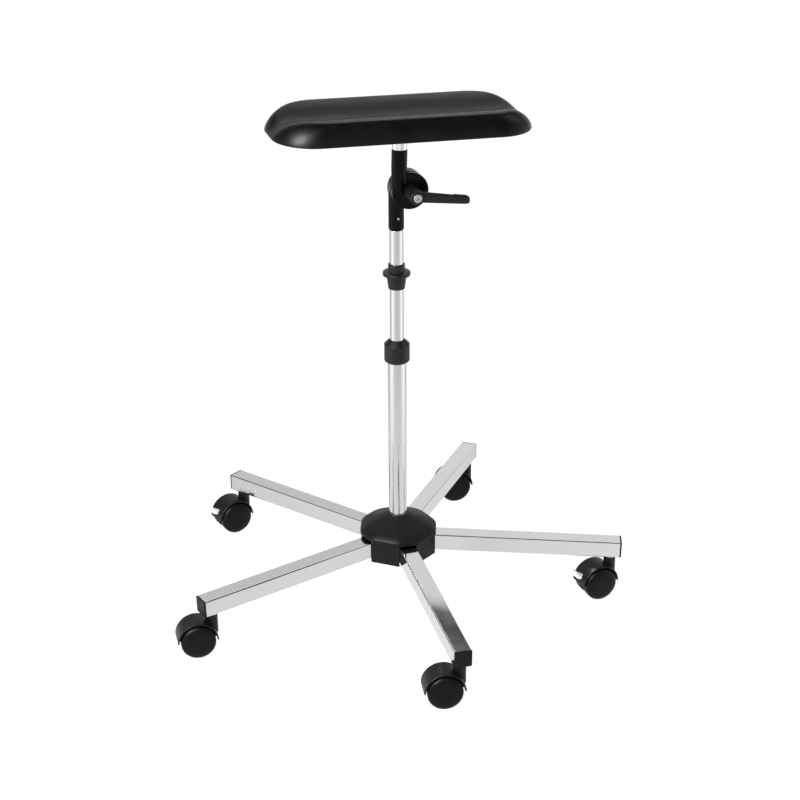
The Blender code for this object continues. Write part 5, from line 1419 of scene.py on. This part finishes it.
class REST_STAND_OT_pad(bpy.types.Operator):
    """Make the moulded pad with its lengthwise trough"""
    bl_idname = "rest_stand.pad"
    bl_label = "Pad"
    corner_steps = 26
    side_cuts = 44
    end_cuts = 9
    rings = 46
    # The rings of the top crowd towards the edge, by a power, and lie wider apart at the ends.
    crowding = 1.6
    end_stretch = 1.8
    # The rolled edge is a round of this power, between a chamfer at 1 and an arc at 2.
    edge_power = 1.55
    fill = 0.95

    def outline(self, sizes):
        """The pad's outline as one face, with its straight sides cut into short edges."""
        shape = rounded_sheet(sizes.length, sizes.width, sizes.corner, self.corner_steps)
        bmesh.ops.delete(shape, geom=list(shape.faces), context="FACES_ONLY")
        shortest = sizes.width - 2 * sizes.corner - WELD
        straight = [edge for edge in shape.edges if edge.calc_length() > shortest]
        sides = [edge for edge in straight if edge.calc_length() > sizes.width]
        ends = [edge for edge in straight if edge not in sides]
        bmesh.ops.subdivide_edges(shape, edges=sides, cuts=self.side_cuts)
        bmesh.ops.subdivide_edges(shape, edges=ends, cuts=self.end_cuts)
        bmesh.ops.contextual_create(shape, geom=list(shape.edges))
        shape.faces.ensure_lookup_table()
        return shape

    def height(self, sizes, across, inset):
        """Height of the pad's top, at a distance off the middle line and in from the edge."""
        rim = min(inset / sizes.shoulder, 1)
        roll = max(0, 1 - (1 - rim) ** self.edge_power) ** (1 / self.edge_power)
        share = min(abs(across) / (sizes.crest_spacing / 2), 1)
        trough = sizes.trough * math.cos(share * math.pi / 2) ** 2
        return roll * (sizes.crest - trough)

    def execute(self, context):
        stand = context.scene.rest_stand
        sizes = stand.pad
        shape = self.outline(sizes)
        face = shape.faces[0]
        size = Vector((sizes.length, sizes.width, 1))
        spread = size
        for ring in range(1, self.rings + 1):
            inset = (ring / self.rings) ** self.crowding * sizes.width / 2
            narrower = size - Vector((2 * inset * self.end_stretch, 2 * inset, 0))
            face = extended(shape, face, (narrower.x / spread.x, narrower.y / spread.y, 1), (0, 0, 0))
            for vert in face.verts:
                vert.co.z = self.height(sizes, vert.co.y, inset)
            spread = narrower
        bmesh.ops.delete(shape, geom=[face], context="FACES_ONLY")
        soften(closed(shape), sizes.edge, FINE_EDGE_STEPS)
        moved(shape, pad_frame(stand) @ Matrix.Translation(UP * sizes.base))
        pad = finished("rest_pad", shape, finish(polyurethane_skin), "head", "pad_skin", "pad")
        return {"FINISHED"}


class REST_STAND_OT_inner_pieces(bpy.types.Operator):
    """Give the pieces inside the stand their finishes"""
    bl_idname = "rest_stand.inner_pieces"
    bl_label = "Inner pieces"

    def execute(self, context):
        steel = ["column_plug", "tube_plug", "lever_insert", "lever_spring"]
        steel += [f"castor_axle_{number}" for number in ARM_NUMBERS]
        for names, maker in ((steel, zinc_plated_steel), (("collet", "guide_bush"), charcoal_nylon)):
            for name in names:
                node = frame["nodes"][name]
                node.data.materials.clear()
                node.data.materials.append(finish(maker))
        return {"FINISHED"}


class REST_STAND_PT_panel(bpy.types.Panel):
    """Lists the pieces of the stand"""
    bl_idname = "REST_STAND_PT_panel"
    bl_label = "Rest stand"
    bl_space_type = "VIEW_3D"
    bl_region_type = "UI"
    bl_category = "Rest stand"

    def draw(self, context):
        for operator in OPERATORS:
            self.layout.operator(operator.bl_idname)


GROUPS = (
    ArmSizes, HubSizes, CastorSizes, ColumnSizes, JointSizes, PadSizes, FinishColours, StageSettings,
    RestStand)
OPERATORS = (
    REST_STAND_OT_stage, REST_STAND_OT_arms, REST_STAND_OT_end_caps, REST_STAND_OT_hub,
    REST_STAND_OT_hub_cover, REST_STAND_OT_castors, REST_STAND_OT_wheels, REST_STAND_OT_brakes,
    REST_STAND_OT_column, REST_STAND_OT_collars, REST_STAND_OT_joint, REST_STAND_OT_screws,
    REST_STAND_OT_lever, REST_STAND_OT_spigot, REST_STAND_OT_pad, REST_STAND_OT_inner_pieces)


def register():
    """Register the classes and the stand's settings."""
    for group in (*GROUPS, *OPERATORS, REST_STAND_PT_panel):
        bpy.utils.register_class(group)
    bpy.types.Scene.rest_stand = bpy.props.PointerProperty(type=RestStand)


def unregister():
    """Take the settings and the classes away again."""
    del bpy.types.Scene.rest_stand
    for group in reversed((*GROUPS, *OPERATORS, REST_STAND_PT_panel)):
        bpy.utils.unregister_class(group)


def main():
    """Make the whole stand."""
    register()
    for operator in OPERATORS:
        area, name = operator.bl_idname.split(".")
        getattr(getattr(bpy.ops, area), name)()


if __name__ == "__main__":
    main()
